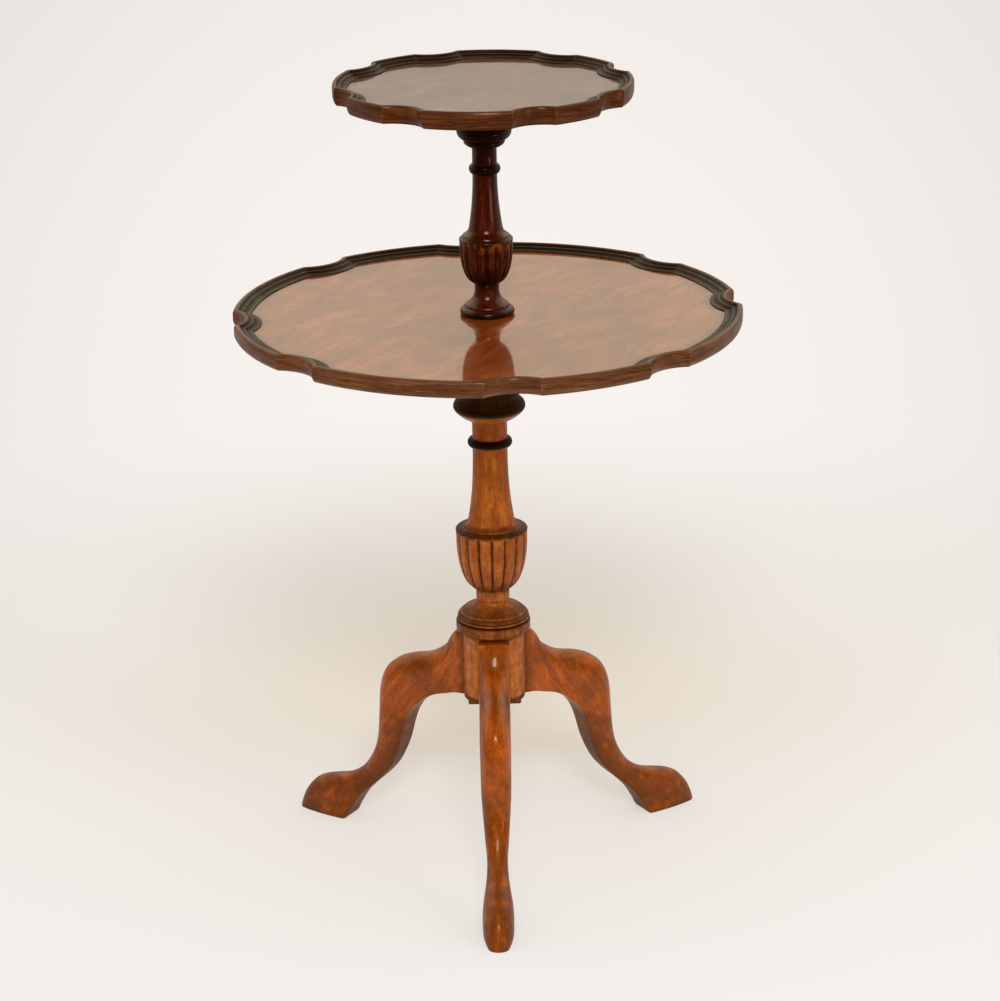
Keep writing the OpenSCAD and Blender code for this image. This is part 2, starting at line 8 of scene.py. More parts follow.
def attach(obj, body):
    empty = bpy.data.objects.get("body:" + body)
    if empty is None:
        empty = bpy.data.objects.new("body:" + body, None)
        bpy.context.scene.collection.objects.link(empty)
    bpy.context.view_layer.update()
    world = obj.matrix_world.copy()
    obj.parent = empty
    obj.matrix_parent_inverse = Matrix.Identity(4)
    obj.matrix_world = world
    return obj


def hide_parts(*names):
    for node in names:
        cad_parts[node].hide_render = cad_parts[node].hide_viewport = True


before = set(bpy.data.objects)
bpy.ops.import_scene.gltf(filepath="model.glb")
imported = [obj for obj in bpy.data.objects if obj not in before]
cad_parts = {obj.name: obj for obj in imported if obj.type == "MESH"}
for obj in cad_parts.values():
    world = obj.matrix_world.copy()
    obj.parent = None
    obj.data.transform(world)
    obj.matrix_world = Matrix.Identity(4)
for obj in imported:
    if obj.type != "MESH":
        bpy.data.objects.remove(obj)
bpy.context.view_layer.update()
mm = 0.001
mergeDistance = 0.002 * mm
print("frame loaded:", len(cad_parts), "nodes")


def linear(hexColour):
    # an sRGB hex value as the linear colour that a socket holds
    parts = [int(hexColour[i:i + 2], 16) / 255 for i in (0, 2, 4)]
    return tuple(c / 12.92 if c <= 0.04045 else ((c + 0.055) / 1.055) ** 2.4 for c in parts) + (1.0,)


def addNode(tree, kind, settings=None, inputs=None):
    # one node, with its settings, and its inputs by name or number, linked or set
    node = tree.nodes.new(kind)
    for name, value in (settings or {}).items():
        if name == "ramp":
            stops = node.color_ramp.elements
            for position, colour in value[1:-1]:
                stops.new(position).color = colour
            for stop, (position, colour) in ((stops[0], value[0]), (stops[-1], value[-1])):
                stop.position = position
                stop.color = colour
        else:
            setattr(node, name, value)
    for name, value in (inputs or {}).items():
        if isinstance(value, bpy.types.NodeSocket):
            tree.links.new(value, node.inputs[name])
        else:
            node.inputs[name].default_value = value
    return node


# each noise in the wood: where it begins to show and where it shows in full
shows = {part: {"From Min": begins, "From Max": full} for part, begins, full in (
    ("lineField", 0.46, 0.64), ("pips", 0.68, 0.74), ("pores", 0.56, 0.68), ("clouds", 0.42, 0.66),
    ("polish", 0.3, 0.7), ("smudges", 0.36, 0.62), ("scratches", 0.67, 0.74), ("rubs", 0.40, 0.62))}
toneStops = {"dark": 0.30, "mid": 0.46, "light": 0.56, "bright": 0.72}
streakDetail = {"figure": 3.0, "fibres": 5.0, "pores": 1.0, "scratches": 2.0}


def woodMaterial(name, look):
    # the pattern's X runs along the fibres, and all its sizes are in millimetres
    material = bpy.data.materials.new(name)
    material.use_nodes = True
    tree = material.node_tree
    tree.nodes.clear()
    if look["follows"] == "grain":
        place = addNode(tree, "ShaderNodeAttribute", {"attribute_name": "grain"}).outputs["Vector"]
    else:
        raw = addNode(tree, "ShaderNodeTexCoord").outputs["Object"]
        place = addNode(tree, "ShaderNodeMapping", inputs={
            "Vector": raw, "Rotation": [math.radians(a) for a in look["turn"]]}).outputs["Vector"]

    # slow waves bend the fibres
    waves = addNode(tree, "ShaderNodeTexNoise", inputs={
        "Vector": place, "Scale": 1 / (look["waveLength"] * mm), "Detail": look["waveDetail"]})
    bent = addNode(tree, "ShaderNodeVectorMath", {"operation": "MULTIPLY_ADD"}, {
        0: waves.outputs["Color"], 1: [look["waveDepth"] * mm] * 3, 2: place})

    # noise drawn out along the fibres, each kind by its own length and width
    streak = {}
    for part, detail in streakDetail.items():
        length, width = look[part]
        sized = addNode(tree, "ShaderNodeMapping", inputs={
            "Vector": bent.outputs[0], "Scale": [1 / (length * mm), 1 / (width * mm), 1 / (width * mm)]})
        streak[part] = addNode(tree, "ShaderNodeTexNoise", inputs={
            "Vector": sized.outputs[0], "Scale": 1.0, "Detail": detail, "Roughness": 0.55}).outputs["Fac"]

    tone = addNode(tree, "ShaderNodeMix", {"data_type": "FLOAT"}, {
        "Factor": look["fibreShare"], "A": streak["figure"], "B": streak["fibres"]})
    colour = addNode(tree, "ShaderNodeValToRGB", {
        "ramp": [(stop, linear(look[part])) for part, stop in toneStops.items()]}, {
        "Fac": tone.outputs[0]}).outputs[0]

    # what lies over the wood's own tone, from the bottom up: mask, colour, way of mixing
    layers = []
    if "lines" in look:
        # fine dark lines that gather in a few places, and rare pips; all stretch along the fibres
        spacing, bend, share = look["lines"]
        across = 1 / (spacing * mm)
        sized = addNode(tree, "ShaderNodeMapping", inputs={
            "Vector": bent.outputs[0], "Scale": [0.3 * across, across, across]})
        flow = addNode(tree, "ShaderNodeTexWave", {"bands_direction": "Y"}, {
            "Vector": sized.outputs[0], "Scale": 0.3, "Distortion": bend, "Detail": 4.0,
            "Detail Scale": 0.6, "Detail Roughness": 0.6})
        gathered = addNode(tree, "ShaderNodeTexNoise", inputs={
            "Vector": place, "Scale": 1 / (look["lineField"] * mm), "Detail": 2.0})
        reach = addNode(tree, "ShaderNodeMapRange", inputs=shows["lineField"] | {
            "Value": gathered.outputs["Fac"], "To Max": share})
        lineMask = addNode(tree, "ShaderNodeMapRange", inputs={
            "Value": flow.outputs["Fac"], "From Min": 0.4, "From Max": 0.0, "To Max": reach.outputs[0]})
        pips = addNode(tree, "ShaderNodeTexNoise", inputs={
            "Vector": sized.outputs[0], "Scale": 1.6, "Detail": 2.0})
        pipMask = addNode(tree, "ShaderNodeMapRange", inputs=shows["pips"] | {
            "Value": pips.outputs["Fac"], "To Max": look["pipDarkness"]})
        marks = addNode(tree, "ShaderNodeMath", {"operation": "MAXIMUM"}, {
            0: lineMask.outputs[0], 1: pipMask.outputs[0]})
        layers.append((marks, "lineColour", "MIX"))
    poreMask = addNode(tree, "ShaderNodeMapRange", inputs=shows["pores"] | {
        "Value": streak["pores"], "To Max": look["poreDarkness"]})
    layers.append((poreMask, "pore", "MULTIPLY"))

    # cloudy patches where light and polish have changed the colour
    clouds = addNode(tree, "ShaderNodeTexNoise", inputs={
        "Vector": place, "Scale": 1 / (look["cloudSize"] * mm), "Detail": 3.0, "Roughness": 0.6})
    cloudMask = addNode(tree, "ShaderNodeMapRange", inputs=shows["clouds"] | {
        "Value": clouds.outputs["Fac"], "To Max": look["cloudShare"]})
    layers.append((cloudMask, "cloud", "MIX"))
    smooth, dull = look["roughness"]
    roughness = addNode(tree, "ShaderNodeMapRange", inputs=shows["polish"] | {
        "Value": clouds.outputs["Fac"], "To Min": smooth, "To Max": dull}).outputs[0]
    coat = look["coat"]

    if look["painted"]:
        # old stain and dirt, with painted shade on the legs and under the cups' lips and a painted
        # reflection at the veneers' edges, all painted on the mesh: full amounts cover, middling ones
        # break up
        stain = addNode(tree, "ShaderNodeAttribute", {"attribute_name": "stain"}).outputs["Fac"]
        smudges = addNode(tree, "ShaderNodeTexNoise", inputs={
            "Vector": place, "Scale": 1 / (look["smudgeSize"] * mm), "Detail": 4.0, "Roughness": 0.6})
        smudged = addNode(tree, "ShaderNodeMapRange", inputs=shows["smudges"] | {
            "Value": smudges.outputs["Fac"], "To Min": -0.7, "To Max": 0.5})
        cover = addNode(tree, "ShaderNodeMath", {"operation": "MULTIPLY_ADD", "use_clamp": True}, {
            0: stain, 1: 2.0, 2: smudged.outputs[0]})
        dirtAndShade = addNode(tree, "ShaderNodeMath", {"operation": "MULTIPLY", "use_clamp": True}, {
            0: stain, 1: cover.outputs[0]})
        layers.append((dirtAndShade, "stain", "MIX"))
        # long light scratches, none in the stained hollows
        scratchMask = addNode(tree, "ShaderNodeMapRange", inputs=shows["scratches"] | {
            "Value": streak["scratches"], "To Max": look["scratchShare"]})
        bare = addNode(tree, "ShaderNodeMapRange", inputs={
            "Value": dirtAndShade.outputs[0], "From Min": 0.3, "From Max": 0.1})
        scratched = addNode(tree, "ShaderNodeMath", {"operation": "MULTIPLY"}, {
            0: scratchMask.outputs[0], 1: bare.outputs[0]})
        layers.append((scratched, "wornAndLit", "MIX"))
        # rubbed edges, where the polish has gone; the same pale colour is painted light on the block
        # between the legs and painted glints on the cups' lobes
        wear = addNode(tree, "ShaderNodeAttribute", {"attribute_name": "wear"}).outputs["Fac"]
        rubs = addNode(tree, "ShaderNodeTexNoise", inputs={
            "Vector": place, "Scale": 1 / (look["rubSize"] * mm), "Detail": 4.0, "Roughness": 0.7})
        rubMask = addNode(tree, "ShaderNodeMapRange", inputs=shows["rubs"] | {
            "Value": rubs.outputs["Fac"], "To Max": look["wearShare"]})
        rubbedAndLit = addNode(tree, "ShaderNodeMath", {"operation": "MULTIPLY", "use_clamp": True}, {
            0: wear, 1: rubMask.outputs[0]})
        layers.append((rubbedAndLit, "wornAndLit", "MIX"))
        # dirt takes the shine away, and the painted shade and reflection do too
        roughness = addNode(tree, "ShaderNodeMath", {"operation": "MULTIPLY_ADD"}, {
            0: dirtAndShade.outputs[0], 1: look["dirtAndShadeRoughness"], 2: roughness}).outputs[0]
        if look["dirtAndShadeMatte"]:
            coat = addNode(tree, "ShaderNodeMapRange", inputs={
                "Value": dirtAndShade.outputs[0], "To Min": look["coat"],
                "To Max": look["coat"] * (1 - look["dirtAndShadeMatte"])}).outputs[0]
    for mask, part, way in layers:
        colour = addNode(tree, "ShaderNodeMix", {"data_type": "RGBA", "blend_type": way}, {
            "Factor": mask.outputs[0], 6: colour, 7: linear(look[part])}).outputs[2]

    relief = addNode(tree, "ShaderNodeMath", {"operation": "MULTIPLY_ADD"}, {
        0: streak["pores"], 1: -0.6, 2: streak["fibres"]})
    bump = addNode(tree, "ShaderNodeBump", inputs={
        "Height": relief.outputs[0], "Strength": look["bump"], "Distance": look["bumpDepth"] * mm})
    finish = {
        "Base Color": colour, "Roughness": roughness, "Normal": bump.outputs[0], "IOR": 1.5,
        "Specular IOR Level": look["sheen"], "Specular Tint": linear(look["sheenTint"]),
        "Coat Weight": coat, "Coat Roughness": look["coatRoughness"], "Coat IOR": 1.5}
    if "coatBump" in look:
        # thick polish is never quite level
        ripple = addNode(tree, "ShaderNodeTexNoise", inputs={
            "Vector": place, "Scale": 1 / (look["rippleSize"] * mm), "Detail": 2.0})
        finish["Coat Normal"] = addNode(tree, "ShaderNodeBump", inputs={
            "Height": ripple.outputs["Fac"], "Strength": look["coatBump"],
            "Distance": look["rippleDepth"] * mm}).outputs[0]
    shader = addNode(tree, "ShaderNodeBsdfPrincipled", inputs=finish)
    addNode(tree, "ShaderNodeOutputMaterial", inputs={"Surface": shader.outputs[0]})
    return material


# what all the woods start from; sizes are in mm, and a streak's are its length and width
plainWood = {
    "follows": "object", "turn": (0, 0, 0), "waveLength": 90, "waveDepth": 10, "waveDetail": 2.0,
    "figure": (160, 18), "fibres": (50, 1.6), "pores": (7, 0.9), "scratches": (20, 1),
    "fibreShare": 0.5, "poreDarkness": 0.5, "pore": "3a2416", "cloudSize": 60, "cloudShare": 0.3,
    "painted": True, "smudgeSize": 7, "rubSize": 9, "wearShare": 0.8, "scratchShare": 0.15,
    "dirtAndShadeMatte": 0.85, "dirtAndShadeRoughness": 0.2, "roughness": (0.42, 0.56), "bump": 0.25, "bumpDepth": 0.3,
    "sheen": 0.35, "sheenTint": "ffffff", "coat": 0.0, "coatRoughness": 0.2,
    "dark": "7a5836", "mid": "977048", "light": "ab8459", "bright": "bd976b",
    "cloud": "8b6741", "stain": "3c2717", "wornAndLit": "c9a87c"}

# honey-brown mahogany, turned, stained and wax polished: mottled vertical fibres and black
# stain left in the carving and on the beads
turnedMahogany = woodMaterial("turnedMahogany", plainWood | {
    "turn": (0, 90, 0), "waveLength": 55, "waveDepth": 8, "figure": (70, 9), "fibres": (22, 1.5),
    "pores": (5, 0.9), "fibreShare": 0.45, "poreDarkness": 0.45, "cloudSize": 26, "cloudShare": 0.6,
    "dark": "70320c", "mid": "914817", "light": "a5581d", "bright": "bf6f2a", "cloud": "743510",
    "stain": "0e0502", "wornAndLit": "c6742f", "wearShare": 0.5, "roughness": (0.32, 0.46), "coat": 0.18,
    "coatRoughness": 0.15, "sheen": 0.2, "sheenTint": "ffb870"})

# dark red mahogany under old French polish: nearly black in the hollows, with sharp highlights
polishedMahogany = woodMaterial("polishedMahogany", plainWood | {
    "turn": (0, 90, 0), "waveLength": 60, "waveDepth": 8, "figure": (60, 8), "fibres": (20, 1.4),
    "pores": (5, 0.9), "cloudSize": 24, "cloudShare": 0.5,
    "dark": "240601", "mid": "340b01", "light": "4a1603", "bright": "6e300c", "cloud": "220601",
    "stain": "0a0302", "wornAndLit": "94501c", "wearShare": 0.7, "roughness": (0.28, 0.4), "coat": 0.4,
    "coatRoughness": 0.2, "sheen": 0.3, "sheenTint": "ff7a38", "dirtAndShadeMatte": 0.3, "smudgeSize": 5})

# reddish mahogany of the legs: mottled and satin, darker on the toes, with painted shade on the knees'
# flanks
legMahogany = woodMaterial("legMahogany", plainWood | {
    "follows": "grain", "waveDepth": 9, "figure": (46, 6), "fibres": (16, 0.9),
    "pores": (4, 0.6), "poreDarkness": 0.7, "cloudSize": 42, "cloudShare": 0.6,
    "dark": "662a05", "mid": "8f3e07", "light": "a34b0b", "bright": "bc5e19", "cloud": "542305",
    "stain": "361e10", "wornAndLit": "b0703c", "wearShare": 0.4, "roughness": (0.3, 0.44), "coat": 0.26,
    "coatRoughness": 0.1, "sheen": 0.6, "sheenTint": "ffa048", "smudgeSize": 15})

# stained and waxed edge moulding: streaks run along it and its corners are rubbed pale
edgeWood = plainWood | {
    "follows": "grain", "waveLength": 120, "waveDepth": 4, "figure": (90, 4), "fibres": (40, 1.3),
    "pores": (22, 0.8), "poreDarkness": 0.8, "cloudSize": 30, "cloudShare": 0.5,
    "dark": "402310", "mid": "5a331b", "light": "6e4226", "bright": "885832", "cloud": "482914",
    "stain": "160b05", "wornAndLit": "a06838", "wearShare": 0.18, "scratches": (40, 0.9),
    "scratchShare": 0.7, "roughness": (0.34, 0.5), "coat": 0.35, "coatRoughness": 0.14, "sheen": 0.1,
    "sheenTint": "ffd0a0", "smudgeSize": 10, "dirtAndShadeMatte": 0.88, "dirtAndShadeRoughness": 0.0}
edgeMahogany = woodMaterial("edgeMahogany", edgeWood)
# the same moulding on the small tray: a shade darker, with fewer scratches
darkEdgeMahogany = woodMaterial("darkEdgeMahogany", edgeWood | {
    "dark": "341608", "mid": "48220d", "light": "5a2f13", "bright": "70401c", "cloud": "381a0a",
    "stain": "1a0b05", "scratchShare": 0.35})

# figured mahogany veneer under French polish: slow swirls, a few dark pips and a mirror finish
figuredWood = plainWood | {
    "waveLength": 120, "waveDepth": 70, "figure": (70, 24), "fibres": (14, 2.2), "pores": (6, 1.0),
    "fibreShare": 0.28, "cloudSize": 90, "cloudShare": 0.75, "dirtAndShadeMatte": 0,
    "lines": (16, 9, 0.45), "lineField": 110, "pipDarkness": 0.7, "lineColour": "401a06",
    "dark": "722c02", "mid": "8f3b02", "light": "a04a06", "bright": "ac6220", "cloud": "6c2f04",
    "stain": "4a1e0a", "wornAndLit": "b87a45", "roughness": (0.4, 0.5), "bump": 0.04, "coat": 1.0,
    "coatRoughness": 0.07, "sheen": 0.1, "coatBump": 0.2, "rippleSize": 20, "rippleDepth": 0.2}
lowerVeneerWood = woodMaterial("figuredVeneer", figuredWood | {
    "turn": (0, 0, -58), "sheenTint": "ff9050"})
# the small tray's sheet of it: darker, redder and a little smaller in its swirls
upperVeneerWood = woodMaterial("darkFiguredVeneer", figuredWood | {
    "turn": (0, 0, -48), "waveLength": 100, "waveDepth": 60, "figure": (60, 22), "cloudSize": 65,
    "cloudShare": 0.8, "lines": (15, 9, 0.5), "lineColour": "281006",
    "dark": "4c1e0c", "mid": "642c10", "light": "733a18", "bright": "8a522a", "cloud": "421c0d",
    "stain": "3a1e10", "wornAndLit": "8a5a35", "coatRoughness": 0.06, "coatBump": 0.12, "rippleSize": 40})

# the undersides have no stain and no polish
bareWood = plainWood | {"painted": False}
# planed pine of the boards: pale brown, wide plain grain, matt
boardPine = woodMaterial("boardPine", bareWood | {
    "figure": (300, 16), "fibres": (90, 1.8), "roughness": (0.6, 0.75), "sheen": 0.3,
    "dark": "6e4f31", "mid": "886542", "light": "9a7650", "bright": "ab875e", "cloud": "7a5a3a"})
# sawn oak of the cleats and the pad: dark brown, finer grain, dry
cleatOak = woodMaterial("cleatOak", bareWood | {
    "figure": (120, 9), "fibres": (40, 1.4), "roughness": (0.5, 0.65), "sheen": 0.3,
    "dark": "3d2414", "mid": "51311c", "light": "623d24", "bright": "744a2c", "cloud": "452918"})
# turned beech of the dowel: pale and even
dowelBeech = woodMaterial("dowelBeech", bareWood | {
    "turn": (0, 90, 0),
    "dark": "a97f55", "mid": "bf9468", "light": "cfa679", "bright": "dcb68a", "cloud": "b88e62"})


def brassMaterial(name, colour, tarnish):
    # old turned brass: a dull yellow with brown tarnish in patches
    material = bpy.data.materials.new(name)
    material.use_nodes = True
    tree = material.node_tree
    tree.nodes.clear()
    place = addNode(tree, "ShaderNodeTexCoord").outputs["Object"]
    patches = addNode(tree, "ShaderNodeTexNoise", inputs={
        "Vector": place, "Scale": 1 / (1.5 * mm), "Detail": 4.0})
    tint = addNode(tree, "ShaderNodeValToRGB", {"ramp": [
        (0.35, linear(tarnish)), (0.6, linear(colour))]}, {"Fac": patches.outputs["Fac"]})
    dull = addNode(tree, "ShaderNodeMapRange", inputs={
        "Value": patches.outputs["Fac"], "To Min": 0.55, "To Max": 0.3})
    shader = addNode(tree, "ShaderNodeBsdfPrincipled", inputs={
        "Base Color": tint.outputs[0], "Roughness": dull.outputs[0], "Metallic": 1.0})
    addNode(tree, "ShaderNodeOutputMaterial", inputs={"Surface": shader.outputs[0]})
    return material


screwBrass = brassMaterial("screwBrass", "b08d45", "5c4624")
print("materials ready")


def smoothRun(points, steps=4):
    # a curve through the points; two points stay a straight line
    if len(points) < 3:
        return list(points)
    out = []
    for i in range(len(points) - 1):
        a, b, c, d = (Vector(points[max(0, min(len(points) - 1, k))]) for k in (i - 1, i, i + 1, i + 2))
        for s in range(steps):
            t = s / steps
            out.append(tuple(0.5 * (2 * b + (c - a) * t + (2 * a - 5 * b + 4 * c - d) * t ** 2
                                    + (3 * b - a - 3 * c + d) * t ** 3)))
    return out + [tuple(points[-1])]


def joinRuns(runs, steps=4):
    out = []
    for run in runs:
        for point in smoothRun(run, steps):
            if not out or (Vector(point) - Vector(out[-1])).length > 0.05:
                out.append(point)
    return out


def between(value, stops):
    # straight-line value between (place, amount) stops
    if value <= stops[0][0]:
        return stops[0][1]
    for (a, low), (b, high) in zip(stops, stops[1:]):
        if value <= b:
            return low + (high - low) * (value - a) / max(b - a, 1e-9)
    return stops[-1][1]


def paintWear(mesh, layer, fullAngle=50, start=0.3, gain=1.3):
    # how sharply each outward edge turns, for the rubbed look; gentle curves stay unmarked
    for vert in mesh.verts:
        turns = [edge.calc_face_angle_signed(0.0) for edge in vert.link_edges
                 if len(edge.link_faces) == 2]
        share = math.degrees(max(turns + [0.0])) / fullAngle
        vert[layer] = max(vert[layer], min(1.0, gain * (share - start)))


def makePiece(name, mesh, material, nodes, sharpAngle=38):
    data = bpy.data.meshes.new(name)
    mesh.to_mesh(data)
    mesh.free()
    data.materials.append(material)
    data.shade_smooth()
    data.set_sharp_from_angle(angle=math.radians(sharpAngle))
    piece = bpy.data.objects.new(name, data)
    bpy.context.scene.collection.objects.link(piece)
    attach(piece, "root")
    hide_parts(*nodes)


def mergedCopy(node, flatAngle=0.5):
    # a CAD node's loose triangles, joined, with each flat side made one face
    mesh = bmesh.new()
    mesh.from_mesh(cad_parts[node].data)
    bmesh.ops.remove_doubles(mesh, verts=mesh.verts, dist=mergeDistance)
    bmesh.ops.dissolve_limit(mesh, angle_limit=math.radians(flatAngle), verts=mesh.verts,
                             edges=mesh.edges)
    return mesh


# the carved cups of both columns: how a lobe is cut, stained and rubbed, with painted shade under the lip
# and painted glints on its top; its runs down from the lip are in mm, and those up from the foot are
# shares of the cup's height
lobeLook = {
    "roundness": 0.75, "footRun": 0.06, "lipRun": 5, "lipCut": 0.7, "valleyStain": 0.8,
    "valleyFall": 2.6, "lipStainAndShadeRun": 6, "footStain": 0.7, "footStainRun": 0.3, "rubbedAndLit": 1.4,
    "rubbedAndLitRun": (1, 10)}

# heights and radii are in mm; steps is the turning's number of sides in one lobe's width
lowerColumn = {
    "name": "lowerColumn", "node": "lower_stem", "slot": "turned_column", "steps": 14,
    "softening": 0.45, "cornerAngle": 24,
    # the block's pale band is painted light, where the legs, the ring and the tray shade it
    "block": {"radius": 36, "top": 285, "flat": 30, "legAngles": (270, 150, 30), "rubbedAndLit": (207, 279)},
    "cup": {"foot": 337, "top": 408, "count": 16, "depth": 3.6, "footRadius": 20},
    "profile": [
        [(0, 199.5), (36, 199.5)], [(36, 204), (36, 207.5)], [(36, 240), (36, 277)],
        [(36, 282), (36, 285)], [(38, 285), (42.7, 285)],
        [(42.9, 285.2), (43.5, 286.8), (43.5, 295.0), (42.4, 296.6)], [(40.1, 297), (40.1, 297.8)],
        [(41.4, 298.5), (42, 298.9), (42, 300.4), (41.2, 301.4)],
        [(41.2, 302.1), (41.5, 302.8), (40.6, 304.2), (39.1, 305.9), (37.5, 306.9)],
        [(37, 307.8), (33, 311), (27.1, 313.6), (22.6, 316.1), (20.3, 318.4), (19.4, 320)],
        [(19.4, 321.5), (18.8, 322.1), (19.4, 322.7)], [(19.5, 325), (19.6, 331), (20, 337)],
        [(20 + 21.9 * math.sin(math.radians(a)), 337 + 62.5 * (1 - math.cos(math.radians(a))))
         for a in range(0, 91, 6)],
        [(41.9, 404), (41.9, 408.7)], [(41.3, 409.4), (37.6, 411), (34, 412)],
        [(33.3, 412.5), (33, 413.9)], [(31.3, 415.4), (29, 416.2), (27.6, 417)],
        [(20.2 + 7.4 * (1 - t) ** 2.5, 417 + 92 * t)
         for t in (0.0, 0.05, 0.1, 0.2, 0.3, 0.45, 0.6, 0.8, 1.0)],
        [(20.2 + 5.6 * math.cos(math.radians(a)), 514.5 + 5.5 * math.sin(math.radians(a)))
         for a in range(-90, 91, 15)],
        [(20.2, 520.5), (20.2, 530), (20.2, 540.5)],
        [(26.2, 543.2), (32.4, 547), (36.7, 550.5), (39.9, 554), (41.4, 556.7), (41.5, 558.4),
         (41.4, 559.9), (40.1, 563.2), (37.7, 565.6), (35, 567.5)],
        [(34.5, 568), (34.5, 588.8)], [(37, 591.4), (37, 596.8)],
        [(35, 598.8), (35.5, 608.7), (38, 617.4), (42.9, 624), (48.9, 626.7)],
        [(49.5, 628.7), (52, 628.7)], [(52, 634), (18, 634)], [(18, 656), (0, 656)]],
    # how dark the old stain is at each height
    "stain": [
        (199, 0.75), (204, 0.7), (207.5, 0.0), (276, 0.05), (283, 0.7), (285.5, 0.55), (295, 0.5),
        (296.4, 0.9), (298.2, 0.9), (298.9, 0.4), (300.2, 0.35), (301.4, 0.95), (303, 0.62), (306, 0.75),
        (307.2, 0.3), (308.2, 0.68), (316, 0.42), (320, 0.35), (321.6, 0.15), (322.1, 0.8), (322.8, 0.15),
        (327, 0.2), (333, 0.4), (337, 0.8), (341, 0.35), (350, 0.12), (407.5, 0.1), (408.4, 0.85),
        (411.8, 0.8), (412.4, 0.25), (413, 0.75), (416.5, 0.45), (420, 0.1), (505, 0.05), (508.6, 0.3),
        (511, 0.4), (512.5, 1.0), (519.6, 1.0), (520.6, 0.1), (538, 0.0), (540.6, 0.3), (542.5, 0.05),
        (552, 0.12), (555, 0.95), (560, 1.0), (567, 0.85), (568.5, 0.95), (634, 0.9), (657, 0.5)]}

upperColumn = {
    "name": "upperColumn", "node": "upper_stem", "slot": "upper_column", "steps": 16,
    "softening": 0.35, "cornerAngle": 24,
    "cup": {"foot": 705, "top": 753, "count": 16, "depth": 2.8, "footRadius": 14},
    "profile": [
        [(0, 668), (29.1, 668)], [(30.6, 669.8), (31, 671.8), (30, 674.4), (27.3, 676.6)],
        [(25.4, 677.2), (25.4, 678.2), (24.5, 680), (21.9, 681.8), (18.9, 684.4), (16.4, 687.5),
         (14.7, 691.5), (14, 696)], [(14, 696), (14, 705)],
        [(14 + 16.6 * math.sin(math.radians(a)), 705 + 42.24 * (1 - math.cos(math.radians(a))))
         for a in range(0, 91, 6)],
        [(30.6, 750), (30.6, 755.4)], [(30.3, 756.3), (29, 757.5), (27, 758.9)],
        [(26.5, 760.3), (24.4, 761.8), (22.5, 763.2), (20.7, 765.1), (19.3, 768.5)],
        [(13.9 + 5.4 * (1 - t) ** 2, 768.5 + 62.8 * t) for t in (0.0, 0.1, 0.2, 0.35, 0.5, 0.75, 1.0)],
        [(13.9 + 3.9 * math.cos(math.radians(a)), 836.6 + 5.3 * math.sin(math.radians(a)))
         for a in range(-90, 91, 15)],
        [(13.9, 842), (13.9, 861.2)], [(17.6, 862.2), (21.3, 864.5), (23.2, 867), (23.2, 869.3)],
        [(22.5, 870.3), (26.1, 871.3)],
        [(28.9, 873.9), (30.6, 877.4), (30.8, 880.9), (29.3, 884.5), (26.6, 886.5)],
        [(27.1, 888), (29, 894), (33, 899.1)], [(33, 900.6), (12, 900.6)], [(12, 916.6), (0, 916.6)]],
    "stain": [
        (668, 1.0), (673, 0.9), (676.5, 0.4), (677.3, 0.9), (678.4, 0.1), (682, 0.0), (694, 0.1),
        (700, 0.45), (705, 0.95), (714, 0.8), (726, 0.4), (740, 0.1), (752, 0.05), (754, 0.7),
        (757, 0.4), (759.5, 0.8), (761, 0.1), (829, 0.1), (831, 0.6), (832, 1.0), (841, 1.0),
        (842.5, 0.2), (860, 0.3), (862, 0.9), (917, 0.95)]}


